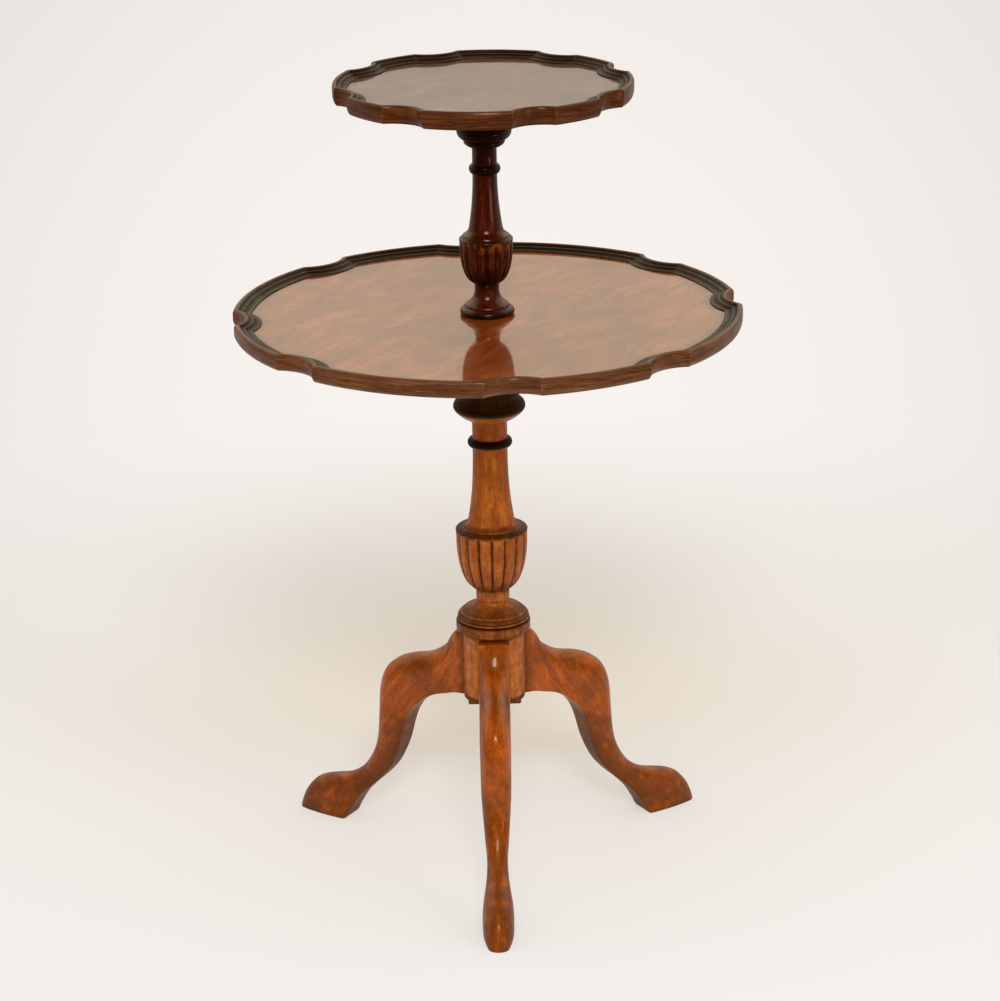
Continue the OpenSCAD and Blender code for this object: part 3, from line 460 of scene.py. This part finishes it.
def turnColumn(look, material):
    mesh = bmesh.new()
    points = joinRuns(look["profile"])
    line = [mesh.verts.new((r * mm, 0, z * mm)) for r, z in points]
    for pair in zip(line, line[1:]):
        mesh.edges.new(pair)
    corners = [b for a, b, c in zip(line, line[1:], line[2:])
               if (b.co - a.co).angle(c.co - b.co) > math.radians(look["cornerAngle"])]
    bmesh.ops.bevel(mesh, geom=corners, offset=look["softening"] * mm, offset_type="OFFSET",
                    segments=2, profile=0.5, affect="VERTICES", clamp_overlap=True, material=-1)
    # one lobe's worth is spun, then doubled until the sixteen lobes close the turning
    cup = look["cup"]
    turned = math.tau / cup["count"]
    bmesh.ops.spin(mesh, geom=mesh.verts[:] + mesh.edges[:], cent=(0, 0, 0), axis=(0, 0, 1),
                   dvec=(0, 0, 0), angle=turned, steps=look["steps"])
    while turned < math.tau - 0.01:
        copied = bmesh.ops.duplicate(mesh, geom=mesh.verts[:] + mesh.edges[:] + mesh.faces[:])["geom"]
        bmesh.ops.rotate(mesh, verts=[part for part in copied if isinstance(part, bmesh.types.BMVert)],
                         cent=(0, 0, 0), matrix=Matrix.Rotation(turned, 3, "Z"))
        turned *= 2
    bmesh.ops.remove_doubles(mesh, verts=mesh.verts, dist=mergeDistance)

    stain = mesh.verts.layers.float.new("stain")
    wear = mesh.verts.layers.float.new("wear")
    for vert in mesh.verts:
        x, y, z = vert.co / mm
        radius = math.hypot(x, y)
        dark = between(z, look["stain"])
        if cup["foot"] < z < cup["top"] + 0.3 and radius > cup["footRadius"]:
            # a valley faces the front; off is 1 in a valley and 0 on a lobe's crest
            turn = (math.atan2(y, x) + math.pi / 2) / math.tau * cup["count"]
            off = abs((turn % 1) * 2 - 1)
            rise = (z - cup["foot"]) / (cup["top"] - cup["foot"])
            fromTop = cup["top"] - z
            roundness = lobeLook["roundness"]
            hollow = roundness * (1 - math.sqrt(1 - off ** 2)) + (1 - roundness) * off ** 2
            depth = cup["depth"] * hollow * min(1, rise / lobeLook["footRun"])
            if fromTop < lobeLook["lipRun"]:
                # each lobe's top is rounded off under the lip
                rounding = lobeLook["lipCut"] * (1 - fromTop / lobeLook["lipRun"]) ** 2
                depth = max(depth, cup["depth"] * rounding * (0.2 + off ** 2))
            vert.co.x *= (radius - depth) / radius
            vert.co.y *= (radius - depth) / radius
            inValley = off ** lobeLook["valleyFall"] * lobeLook["valleyStain"]
            # under the lip it is darker: stain, and a painted shadow of the lip on the lobes' tops
            underLip = max(0, 1 - fromTop / lobeLook["lipStainAndShadeRun"]) * (0.3 + 0.7 * off ** 2)
            atFoot = lobeLook["footStain"] * max(0, 1 - rise / lobeLook["footStainRun"])
            dark = max(dark, inValley, underLip, atFoot) + 0.1 * off ** 2
            # the lobes' tops are rubbed pale, and the same paleness is a painted glint on them
            begins, ends = lobeLook["rubbedAndLitRun"]
            if begins < fromTop < ends:
                vert[wear] = (1 - off) * lobeLook["rubbedAndLit"] * (1 - fromTop / ends)
        vert[stain] = dark
    if "block" in look:
        # the legs' three flats; between the legs the block is painted pale, a painted light where the
        # legs, the ring and the tray shade it
        block = look["block"]
        paleFrom, paleTo = block["rubbedAndLit"]
        for vert in mesh.verts:
            if paleFrom < vert.co.z / mm < paleTo:
                vert[wear] = 1.0
            if (vert.co.z < (block["top"] + 0.05) * mm
                    and vert.co.xy.length < (block["radius"] + 0.2) * mm):
                for angle in block["legAngles"]:
                    out = Vector((math.cos(math.radians(angle)), math.sin(math.radians(angle)), 0))
                    past = vert.co.dot(out) - block["flat"] * mm
                    if past > 0:
                        vert.co -= out * past
    bmesh.ops.recalc_face_normals(mesh, faces=mesh.faces)
    paintWear(mesh, wear)
    makePiece(look["name"], mesh, material, [look["node"]])


turnColumn(lowerColumn, turnedMahogany)
turnColumn(upperColumn, polishedMahogany)
print("columns turned and carved")


cabrioleLeg = {
    "slot": "legs", "legs": {"leg_front": 270, "leg_left": 150, "leg_right": 30},
    "flat": 30, "grainLean": 56, "sectionPoints": 34, "stepsBetween": 5, "cornerAngle": 40,
    "softening": 0.9, "wearAngle": 60,
    # half a section's flat places, in shares of its half width and height; above them it is rounded
    "side": [(0.0, 0.0), (0.45, 0.0), (0.86, 0.0), (0.965, 0.012), (1.0, 0.05), (1.0, 0.2), (1.0, 0.4)],
    # the rounding starts at this height, on a round and on a square section
    "shoulder": (0.58, 0.97), "squareness": [(13.4, 1.0), (15.5, 0.45), (22, 0.15), (50, 0.0)],
    # how dark the stain and the painted shade are: knee (painted shade on its upper flanks), toe, and
    # root (painted shadow of the ring over it) by the way out, low by height, face by height in it
    "stain": {"knee": [(32, 0.0), (68, 0.65), (104, 0.0)], "toe": [(205, 0.0), (240, 0.45)],
              "root": [(0, 0.6), (14, 0.0)], "face": [(0.5, 0.0), (0.85, 1.0)], "underside": 0.12,
              "low": [(15, 0.42), (60, 0.62), (110, 0.54), (150, 0.25), (175, 0.0)]},
    "rubbedRoot": (12.5, 15),
    # upper edge out and up, underside out and up, width
    "stations": [
        (0, 279.4, 0, 199.5, 36), (13.3, 278, 9, 198.8, 36), (23.5, 269.3, 17, 198, 36),
        (33.2, 254, 29, 194.7, 36), (54.5, 239.5, 43.5, 190.5, 36), (81.5, 232, 57, 183.3, 36),
        (101, 223.5, 66.5, 174.8, 36), (118, 208, 77, 165, 36), (126.5, 185, 85, 151.5, 35.5),
        (129, 149.5, 91, 134.5, 35), (131.5, 121.5, 96, 115.5, 33), (137, 100.5, 102.5, 98, 30),
        (147, 82, 112, 80, 27), (159, 68, 125.5, 64, 24), (176.5, 57.5, 142.5, 48, 25),
        (196.5, 52, 158.5, 31, 30), (212, 47.5, 170, 13.5, 34.5), (225.5, 40, 181, -3, 36),
        (238.5, 25, 205, -4, 34), (246, 8, 226, -6, 25.9), (248.5, -4, 240, -9, 14.4)]}


def carveLeg(name, angle, look, material):
    mesh = bmesh.new()
    # half a section, from the underside's middle: flat places, then angles of the rounded top
    turns = look["sectionPoints"] // 2 - len(look["side"])
    half = look["side"] + [math.pi / 2 * k / turns for k in range(turns + 1)]
    section = [(1, spot) for spot in half] + [(-1, spot) for spot in reversed(half[1:-1])]
    rings = smoothRun(look["stations"], look["stepsBetween"])
    roundShoulder, squareShoulder = look["shoulder"]
    paleFrom, paleTo = look["rubbedRoot"]
    spread = look["stain"]
    lean = math.radians(look["grainLean"])
    grain = mesh.verts.layers.float_vector.new("grain")
    stain = mesh.verts.layers.float.new("stain")
    wear = mesh.verts.layers.float.new("wear")
    place = mesh.verts.layers.int.new("place")
    circle = bmesh.ops.create_circle(mesh, cap_ends=False, segments=len(section), radius=1 * mm)
    for k, vert in enumerate(circle["verts"]):
        vert[place] = k
    bmesh.ops.spin(mesh, geom=mesh.verts[:] + mesh.edges[:], cent=(0, 0, 0), axis=(0, 0, 1),
                   dvec=(0, 0, 1 * mm), angle=0, steps=len(rings) - 1)
    for vert in mesh.verts:
        topOut, topUp, underOut, underUp, width = rings[round(vert.co.z / mm)]
        side, spot = section[vert[place]]
        if isinstance(spot, tuple):
            across, up = side * spot[0], spot[1]
        else:
            # a squarer section has a higher shoulder and fuller corners
            squareness = between(topOut, look["squareness"])
            shoulder = roundShoulder + (squareShoulder - roundShoulder) * squareness
            power = 1 - 0.6 * squareness
            across = side * math.cos(spot) ** power if spot < 1.57 else 0.0
            up = shoulder + (1 - shoulder) * math.sin(spot) ** power
        out = underOut + (topOut - underOut) * up
        high = underUp + (topUp - underUp) * up
        vert.co = Vector((look["flat"] + out, across * width / 2, high)) * mm
        x, y, z = vert.co
        vert[grain] = (x * math.cos(lean) - z * math.sin(lean), y,
                       x * math.sin(lean) + z * math.cos(lean))
        # the knee's upper flanks carry painted shade, the toe is darker, the root carries a painted
        # shadow of the ring over it, and the section is darker towards its underside
        knee = between(out, spread["knee"]) * between(up, spread["face"]) * min(1, 1.5 * across ** 2)
        toe = between(out, spread["toe"]) * (1 - 0.5 * up)
        # the root: a painted shadow of the ring over it
        root = between(out, spread["root"])
        under = (spread["underside"] if up < 0.03 else 0.0) + 0.2 * (1 - up)
        low = between(high, spread["low"]) * (1 - 0.3 * up)
        vert[stain] = min(1, knee + toe + root + under + low)
        # the root's top edge is rubbed pale
        vert[wear] = 1.3 if paleFrom < topOut < paleTo and up > 0.9 else 0.0
    bmesh.ops.edgeloop_fill(mesh, edges=[e for e in mesh.edges if e.is_boundary])
    bmesh.ops.bisect_plane(mesh, geom=mesh.verts[:] + mesh.edges[:] + mesh.faces[:],
                           plane_co=(0, 0, 0), plane_no=(0, 0, -1), clear_outer=True)
    bmesh.ops.edgeloop_fill(mesh, edges=[e for e in mesh.edges if e.is_boundary])
    bmesh.ops.recalc_face_normals(mesh, faces=mesh.faces)
    # the sole's edge and the root's are softened
    sharp = [edge for edge in mesh.edges if len(edge.link_faces) == 2
             and edge.calc_face_angle(0) > math.radians(look["cornerAngle"])]
    bmesh.ops.bevel(mesh, geom=sharp, offset=look["softening"] * mm, offset_type="OFFSET", segments=2,
                    profile=0.5, affect="EDGES", clamp_overlap=True, material=-1)
    paintWear(mesh, wear, look["wearAngle"])
    bmesh.ops.rotate(mesh, verts=mesh.verts, cent=(0, 0, 0),
                     matrix=Matrix.Rotation(math.radians(angle), 3, "Z"))
    makePiece(name + "_carved", mesh, material, [name], look["cornerAngle"])


for name, angle in cabrioleLeg["legs"].items():
    carveLeg(name, angle, cabrioleLeg, legMahogany)
print("legs carved")


# lengths are in mm; scoop, longStep and turn are angles round the tray
trays = {
    "lower": {"radius": 290, "top": 668, "rimWidth": 21, "rimUp": 7.6, "thick": 12, "scoop": 12,
              "scoopDepth": 11.5, "longStep": 52, "turn": 24.2, "wood": edgeMahogany},
    "upper": {"radius": 168, "top": 930, "rimWidth": 17, "rimUp": 7.6, "thick": 13.4, "scoop": 17,
              "scoopDepth": 10, "longStep": 51.2, "turn": 38.7, "wood": darkEdgeMahogany}}
rimLook = {
    "slot": "rim_moulding", "tuck": 5, "lap": 9, "stepLength": 3.5, "mitreGap": 0.16,
    "scoopSweep": 62, "overrun": 4, "wearAngle": 40, "cornerAngle": 32,
    # no two pieces are cut from the same place in the wood
    "grainShift": (173, 7, 5),
    # dark polish lies in the hollows of the moulding: its amount by the share of the way in
    "stain": [(0.0, 0.1), (0.15, 0.2), (0.27, 0.6), (0.36, 1.0), (0.46, 0.95), (0.5, 0.6), (0.55, 0.6),
              (0.6, 1.0), (0.76, 1.0), (0.83, 0.7), (0.97, 0.6), (1.0, 0.9)],
    "stainBelow": 0.1}


def rimSection(tray):
    # (distance in from the outline, height over the surface), round the moulding; w is its width
    w, up, low, tuck = tray["rimWidth"], tray["rimUp"], -tray["thick"], rimLook["tuck"]
    lap = w - rimLook["lap"]
    arc = [math.radians(a) for a in (90, 75, 60, 45, 30, 15, 0)]
    return joinRuns([
        [(tuck * (1 - math.cos(a)), low * (0.25 + 0.75 * math.sin(a))) for a in arc],
        [(0, low * 0.2), (0, up * 0.4)],
        [(0.16 * w * (1 - math.cos(a)), up * (0.45 + 0.55 * math.sin(a))) for a in reversed(arc)],
        [(0.27 * w, 0.97 * up), (0.32 * w, 0.86 * up), (0.38 * w, 0.62 * up), (0.45 * w, 0.53 * up)],
        [(0.48 * w, 0.55 * up), (0.52 * w, 0.58 * up), (0.57 * w, 0.55 * up), (0.6 * w, 0.46 * up)],
        [(0.62 * w, 0.38 * up), (0.68 * w, 0.25 * up), (0.76 * w, 0.18 * up), (0.86 * w, 0.17 * up)],
        [(0.9 * w, 0.2 * up), (0.95 * w, 0.2 * up), (0.985 * w, 0.12 * up), (w, 0)],
        [(lap, 0), (lap, low)]], 3)


def rimPiece(tray, index, kind, centreAngle, halfAngle, node):
    # made at angle 0, then turned to its place
    radius, width = tray["radius"], tray["rimWidth"]
    chord = radius * math.sin(math.radians(tray["scoop"] / 2))
    scoopRadius = (chord ** 2 + tray["scoopDepth"] ** 2) / (2 * tray["scoopDepth"])
    scoopX = radius * math.cos(math.radians(tray["scoop"] / 2)) + scoopRadius - tray["scoopDepth"]

    def corner(inset):
        a = math.acos((scoopX ** 2 + (radius - inset) ** 2 - (scoopRadius + inset) ** 2)
                      / (2 * scoopX * (radius - inset)))
        return Vector(((radius - inset) * math.cos(a), (radius - inset) * math.sin(a), 0))

    outer, inner = corner(0), corner(width + 1)
    mesh = bmesh.new()
    section = rimSection(tray)
    if kind == "scoop":
        middle, sweep = scoopX, math.radians(rimLook["scoopSweep"])
        spots = [(scoopX - scoopRadius - inset, tray["top"] + rise) for inset, rise in section]
    else:
        middle, sweep = 0, math.radians(halfAngle + rimLook["overrun"])
        spots = [(radius - inset, tray["top"] + rise) for inset, rise in section]
    ring = [mesh.verts.new((x * mm, 0, z * mm)) for x, z in spots]
    for pair in zip(ring, ring[1:] + ring[:1]):
        mesh.edges.new(pair)
    grain = mesh.verts.layers.float_vector.new("grain")
    stain = mesh.verts.layers.float.new("stain")
    bmesh.ops.rotate(mesh, verts=mesh.verts, cent=(middle * mm, 0, 0),
                     matrix=Matrix.Rotation(-sweep, 3, "Z"))
    length = (scoopRadius if kind == "scoop" else radius) * 2 * sweep
    bmesh.ops.spin(mesh, geom=mesh.verts[:] + mesh.edges[:], cent=(middle * mm, 0, 0), axis=(0, 0, 1),
                   dvec=(0, 0, 0), angle=2 * sweep, steps=max(8, round(length / rimLook["stepLength"])))
    # both ends are cut on the mitre
    if kind != "scoop":
        back = Matrix.Rotation(-math.radians(halfAngle), 3, "Z")
        outer, inner = back @ outer, back @ inner
    mirror = Vector((1, -1, 1))
    inside = Vector((radius - width / 2, 0, 0))
    for a, b in ((outer, inner), (outer * mirror, inner * mirror)):
        away = (a - b).cross(Vector((0, 0, 1)))
        if away.dot(inside - a) > 0:
            away = -away
        bmesh.ops.bisect_plane(mesh, geom=mesh.verts[:] + mesh.edges[:] + mesh.faces[:], dist=0.001 * mm,
                               plane_co=a * mm, plane_no=away, clear_outer=True)
        cut = [edge for edge in mesh.edges if edge.is_boundary
               and all(abs((vert.co / mm - a).dot(away.normalized())) < 0.05 for vert in edge.verts)]
        bmesh.ops.edgeloop_fill(mesh, edges=cut)
    bmesh.ops.recalc_face_normals(mesh, faces=mesh.faces)
    # the cut ends are the only faces with many corners, and their edges open the mitre by a hair
    ends = [face for face in mesh.faces if len(face.verts) > 12]
    bmesh.ops.bevel(mesh, geom=list({edge for face in ends for edge in face.edges}),
                    offset=rimLook["mitreGap"] * mm, offset_type="OFFSET", segments=1, profile=0.5,
                    affect="EDGES", clamp_overlap=True, material=-1)
    shiftRun, shiftIn, shiftUp = (index * shift for shift in rimLook["grainShift"])
    for vert in mesh.verts:
        x, y, z = vert.co / mm
        rise = z - tray["top"]
        if kind == "scoop":
            run = math.atan2(y, scoopX - x) * scoopRadius
            inset = math.hypot(x - scoopX, y) - scoopRadius
        else:
            run = math.atan2(y, x) * radius
            inset = radius - math.hypot(x, y)
        vert[grain] = Vector((run + shiftRun, inset + shiftIn, rise + shiftUp)) * mm
        vert[stain] = between(inset / width, rimLook["stain"]) if rise > -0.5 else rimLook["stainBelow"]
    paintWear(mesh, mesh.verts.layers.float.new("wear"), rimLook["wearAngle"])
    bmesh.ops.rotate(mesh, verts=mesh.verts, cent=(0, 0, 0),
                     matrix=Matrix.Rotation(math.radians(centreAngle), 3, "Z"))
    makePiece(node + "_moulded", mesh, tray["wood"], [node], rimLook["cornerAngle"])


for trayName, tray in trays.items():
    # each quarter has a long arc, a short one and a scoop on either side of the short one
    shortStep = 90 - tray["longStep"]
    for quarter in range(4):
        middle = tray["turn"] + 90 * quarter
        rimName = trayName + "_rim_%s_%d"
        rimPiece(tray, quarter * 4, "long", middle + 45, tray["longStep"] / 2,
                 rimName % ("long", quarter + 1))
        rimPiece(tray, quarter * 4 + 1, "short", middle, shortStep / 2,
                 rimName % ("short", quarter + 1))
        for side, sign in ((0, -1), (1, 1)):
            rimPiece(tray, quarter * 4 + 2 + side, "scoop", middle + sign * shortStep / 2, 0,
                     rimName % ("scoop", 2 * quarter + side + 1))
print("rims moulded")

# where a sheet meets its moulding it is darker: wax and dirt, and a painted reflection of the moulding in
# the polish: (mm in from its edge, amount)
veneerLook = {"slot": "figured_veneer", "cell": 7, "cornerAngle": 30, "outlineBeyond": 100,
              "stain": [(0, 0.95), (9, 0.9), (12, 0.6), (17, 0.22), (26, 0.0)]}


def layVeneer(node, material, look):
    # a grid of cells gives the paint enough points
    mesh = mergedCopy(node)
    outline = [vert.co.copy() for vert in mesh.verts if vert.co.xy.length > look["outlineBeyond"] * mm]
    reach = max(point.xy.length for point in outline)
    tree = KDTree(len(outline))
    for k, point in enumerate(outline):
        tree.insert(point, k)
    tree.balance()
    lines = int(reach / (look["cell"] * mm))
    for axis in ((1, 0, 0), (0, 1, 0)):
        for k in range(-lines, lines + 1):
            bmesh.ops.bisect_plane(mesh, geom=mesh.verts[:] + mesh.edges[:] + mesh.faces[:],
                                   plane_co=Vector(axis) * look["cell"] * mm * k, plane_no=axis)
    stain = mesh.verts.layers.float.new("stain")
    for vert in mesh.verts:
        vert[stain] = between(tree.find(vert.co)[2] / mm, look["stain"])
    makePiece(node + "_laid", mesh, material, [node], look["cornerAngle"])


layVeneer("lower_veneer", lowerVeneerWood, veneerLook)
layVeneer("upper_veneer", upperVeneerWood, veneerLook)
for node, material, slotName in (
        ("lower_board", boardPine, "board_core"), ("upper_board", boardPine, "board_core"),
        ("lower_cleat", cleatOak, "hidden_hardwood"), ("upper_cleat", cleatOak, "hidden_hardwood"),
        ("block_pad", cleatOak, "hidden_hardwood")):
    makePiece(node + "_finished", mergedCopy(node), material, [node], 30)
for node, material in (("stem_dowel", dowelBeech), ("block_pad_screw", screwBrass),
                       ("lower_cleat_screws", screwBrass), ("upper_cleat_screws", screwBrass)):
    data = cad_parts[node].data
    data.materials.clear()
    data.materials.append(material)
print("boards and fixings finished")

# places are in metres and powers in watts; a pair is where something starts and where it ends
studio = {
    "floor": "f6f6f6", "floorRadius": 1.7, "floorCentre": (0, 0.1), "floorFade": (0.6, 1.68),
    "shade": "f2ebdf", "shadeCentre": (0, 0.25, 0), "shadeFade": (0.1, 0.75),
    "evenPaper": "f1ede8", "evenShare": 0.6, "evenFade": (-0.1, 0.5),
    "background": "f1ece8", "glow": (0.0, 0.952, -0.3065), "glowEdge": 0.9816, "glowLevels": (0.93, 1.07),
    "mirrored": ("fff3e8", "fff7d6"), "mirroredRise": (0.15, 0.32), "mirroredLevels": (0.52, 1.31),
    "frontDark": 0.05, "frontFade": (-0.45, 0.25), "ambient": "fff6e8", "ambientStrength": 0.71,
    "aim": (0, 0, 0.5),
    "lights": {
        "keySoftbox": {"place": (0.25, -4.0, 3.3), "size": (1.3, 1.0), "power": 104, "colour": "eef3ff"},
        "frontFill": {"place": (-0.5, -4.3, 1.7), "size": (1.8, 1.4), "power": 32, "colour": "ffffff",
                      "mirrored": False},
        "sideWindow": {"place": (3.6, -2.8, 1.6), "size": (1.8, 2.2), "power": 34, "colour": "ffffff",
                       "mirrored": False},
        # a low card that only shines on the polish, and stays under what the trays mirror
        "lowCard": {"place": (3.4, -3.0, 0.42), "size": (1.1, 0.7), "power": 14, "colour": "ffe6c4",
                    "lights": False}}}


def buildWorld(look):
    world = bpy.data.worlds.new("studio")
    bpy.context.scene.world = world
    world.use_nodes = True
    tree = world.node_tree
    tree.nodes.clear()
    rays = addNode(tree, "ShaderNodeLightPath").outputs
    where = addNode(tree, "ShaderNodeTexCoord").outputs["Generated"]
    towards = addNode(tree, "ShaderNodeSeparateXYZ", inputs={"Vector": where}).outputs
    # the paper behind the table is brightest at its middle
    seen = addNode(tree, "ShaderNodeMath", {"operation": "MAXIMUM"}, {
        0: rays["Is Camera Ray"], 1: rays["Is Transmission Ray"]})
    toGlow = addNode(tree, "ShaderNodeVectorMath", {"operation": "DOT_PRODUCT"}, {
        0: where, 1: Vector(look["glow"]).normalized()})
    glow = addNode(tree, "ShaderNodeMapRange", inputs={
        "Value": toGlow.outputs["Value"], "From Min": look["glowEdge"], "From Max": 1.0,
        "To Min": look["glowLevels"][0], "To Max": look["glowLevels"][1]})
    paper = addNode(tree, "ShaderNodeMath", {"operation": "MULTIPLY"}, {
        0: seen.outputs[0], 1: glow.outputs[0]})
    # what polish mirrors is dark in front of the table, and behind it gets brighter and warmer
    # from the floor up
    behind = addNode(tree, "ShaderNodeMapRange", {"interpolation_type": "SMOOTHSTEP"}, {
        "Value": towards["Y"], "From Min": look["frontFade"][0], "From Max": look["frontFade"][1],
        "To Min": look["frontDark"], "To Max": 1.0})
    low, high = look["mirroredRise"]
    dim, bright = look["mirroredLevels"]
    rise = addNode(tree, "ShaderNodeMapRange", inputs={
        "Value": towards["Z"], "From Min": low, "From Max": high, "To Min": dim, "To Max": bright})
    room = addNode(tree, "ShaderNodeMath", {"operation": "MULTIPLY"}, {
        0: behind.outputs[0], 1: rise.outputs[0]})
    mirrored = addNode(tree, "ShaderNodeMath", {"operation": "MULTIPLY"}, {
        0: rays["Is Glossy Ray"], 1: room.outputs[0]})
    warmth = addNode(tree, "ShaderNodeMapRange", inputs={
        "Value": towards["Z"], "From Min": low, "From Max": high})
    roomColour = addNode(tree, "ShaderNodeMix", {"data_type": "RGBA"}, {
        "Factor": warmth.outputs[0], 6: linear(look["mirrored"][0]), 7: linear(look["mirrored"][1])})
    tint = addNode(tree, "ShaderNodeMix", {"data_type": "RGBA"}, {
        "Factor": rays["Is Glossy Ray"], 6: linear(look["background"]), 7: roomColour.outputs[2]})
    level = addNode(tree, "ShaderNodeMath", {"operation": "MAXIMUM"}, {
        0: paper.outputs[0], 1: mirrored.outputs[0]})
    shown = addNode(tree, "ShaderNodeBackground", inputs={
        "Color": tint.outputs[2], "Strength": level.outputs[0]})
    # soft light from all round
    soft = addNode(tree, "ShaderNodeBackground", inputs={
        "Color": linear(look["ambient"]), "Strength": look["ambientStrength"]})
    pick = addNode(tree, "ShaderNodeMath", {"operation": "MAXIMUM"}, {
        0: seen.outputs[0], 1: rays["Is Glossy Ray"]})
    mixed = addNode(tree, "ShaderNodeMixShader", inputs={
        0: pick.outputs[0], 1: soft.outputs[0], 2: shown.outputs[0]})
    addNode(tree, "ShaderNodeOutputWorld", inputs={"Surface": mixed.outputs[0]})


def buildFloor(look):
    mesh = bmesh.new()
    bmesh.ops.create_circle(mesh, cap_ends=True, segments=128, radius=look["floorRadius"])
    data = bpy.data.meshes.new("floor")
    mesh.to_mesh(data)
    mesh.free()
    floor = bpy.data.objects.new("floor", data)
    floor.location = (*look["floorCentre"], 0)
    bpy.context.scene.collection.objects.link(floor)
    # matt pale studio paper that fades into the backdrop at its edge, and isn't seen from below
    material = bpy.data.materials.new("studioPaper")
    material.use_nodes = True
    tree = material.node_tree
    tree.nodes.clear()
    place = addNode(tree, "ShaderNodeTexCoord").outputs["Object"]
    distance = addNode(tree, "ShaderNodeVectorMath", {"operation": "LENGTH"}, {0: place})
    fade = addNode(tree, "ShaderNodeMapRange", {"interpolation_type": "SMOOTHSTEP"}, {
        "Value": distance.outputs["Value"], "From Min": look["floorFade"][0],
        "From Max": look["floorFade"][1]})
    hidden = addNode(tree, "ShaderNodeMath", {"operation": "MAXIMUM"}, {
        0: fade.outputs[0], 1: addNode(tree, "ShaderNodeNewGeometry").outputs["Backfacing"]})
    # behind the column it has a painted warm shade, as from the wood above it
    toShade = addNode(tree, "ShaderNodeVectorMath", {"operation": "DISTANCE"}, {
        0: place, 1: look["shadeCentre"]})
    shade = addNode(tree, "ShaderNodeMapRange", {"interpolation_type": "SMOOTHSTEP"}, {
        "Value": toShade.outputs["Value"], "From Min": look["shadeFade"][0],
        "From Max": look["shadeFade"][1], "To Min": 1.0, "To Max": 0.0})
    paperColour = addNode(tree, "ShaderNodeMix", {"data_type": "RGBA"}, {
        "Factor": shade.outputs[0], 6: linear(look["floor"]), 7: linear(look["shade"])})
    paper = addNode(tree, "ShaderNodeBsdfDiffuse", inputs={"Color": paperColour.outputs[2]})
    # and the camera sees it evenly pale in front
    across = addNode(tree, "ShaderNodeSeparateXYZ", inputs={"Vector": place}).outputs
    front = addNode(tree, "ShaderNodeMapRange", {"interpolation_type": "SMOOTHSTEP"}, {
        "Value": across["Y"], "From Min": look["evenFade"][0], "From Max": look["evenFade"][1],
        "To Min": look["evenShare"], "To Max": 0.0})
    even = addNode(tree, "ShaderNodeMath", {"operation": "MULTIPLY"}, {
        0: front.outputs[0], 1: addNode(tree, "ShaderNodeLightPath").outputs["Is Camera Ray"]})
    pale = addNode(tree, "ShaderNodeEmission", inputs={
        "Color": linear(look["evenPaper"]), "Strength": 1.0})
    lit = addNode(tree, "ShaderNodeMixShader", inputs={
        0: even.outputs[0], 1: paper.outputs[0], 2: pale.outputs[0]})
    clear = addNode(tree, "ShaderNodeBsdfTransparent")
    mixed = addNode(tree, "ShaderNodeMixShader", inputs={
        0: hidden.outputs[0], 1: lit.outputs[0], 2: clear.outputs[0]})
    addNode(tree, "ShaderNodeOutputMaterial", inputs={"Surface": mixed.outputs[0]})
    data.materials.append(material)


def addLights(look):
    for name, light in look["lights"].items():
        data = bpy.data.lights.new(name, "AREA")
        data.shape = "RECTANGLE"
        data.size, data.size_y = light["size"]
        data.energy = light["power"]
        data.color = linear(light["colour"])[:3]
        lamp = bpy.data.objects.new(name, data)
        lamp.location = light["place"]
        lamp.visible_glossy = light.get("mirrored", True)
        lamp.visible_diffuse = light.get("lights", True)
        lamp.rotation_euler = (Vector(look["aim"]) - lamp.location).to_track_quat("-Z", "Y").to_euler()
        bpy.context.scene.collection.objects.link(lamp)


buildWorld(studio)
buildFloor(studio)
addLights(studio)

# the photograph's view: a standing eye, looking down at the lower tray, tilted a little
photoCamera = {"place": (0.0104, -3.6, 1.699), "down": 19.25, "roll": -1.05, "lens": 118.21, "sensor": 36}
lensData = bpy.data.cameras.new("photoCamera")
lensData.sensor_width = photoCamera["sensor"]
lensData.lens = photoCamera["lens"]
camera = bpy.data.objects.new("photoCamera", lensData)
camera.matrix_world = (Matrix.Translation(photoCamera["place"])
                       @ Matrix.Rotation(math.radians(90 - photoCamera["down"]), 4, "X")
                       @ Matrix.Rotation(math.radians(photoCamera["roll"]), 4, "Z"))
bpy.context.scene.collection.objects.link(camera)
bpy.context.scene.camera = camera
bpy.context.scene.view_settings.view_transform = "Standard"
print("stage ready")
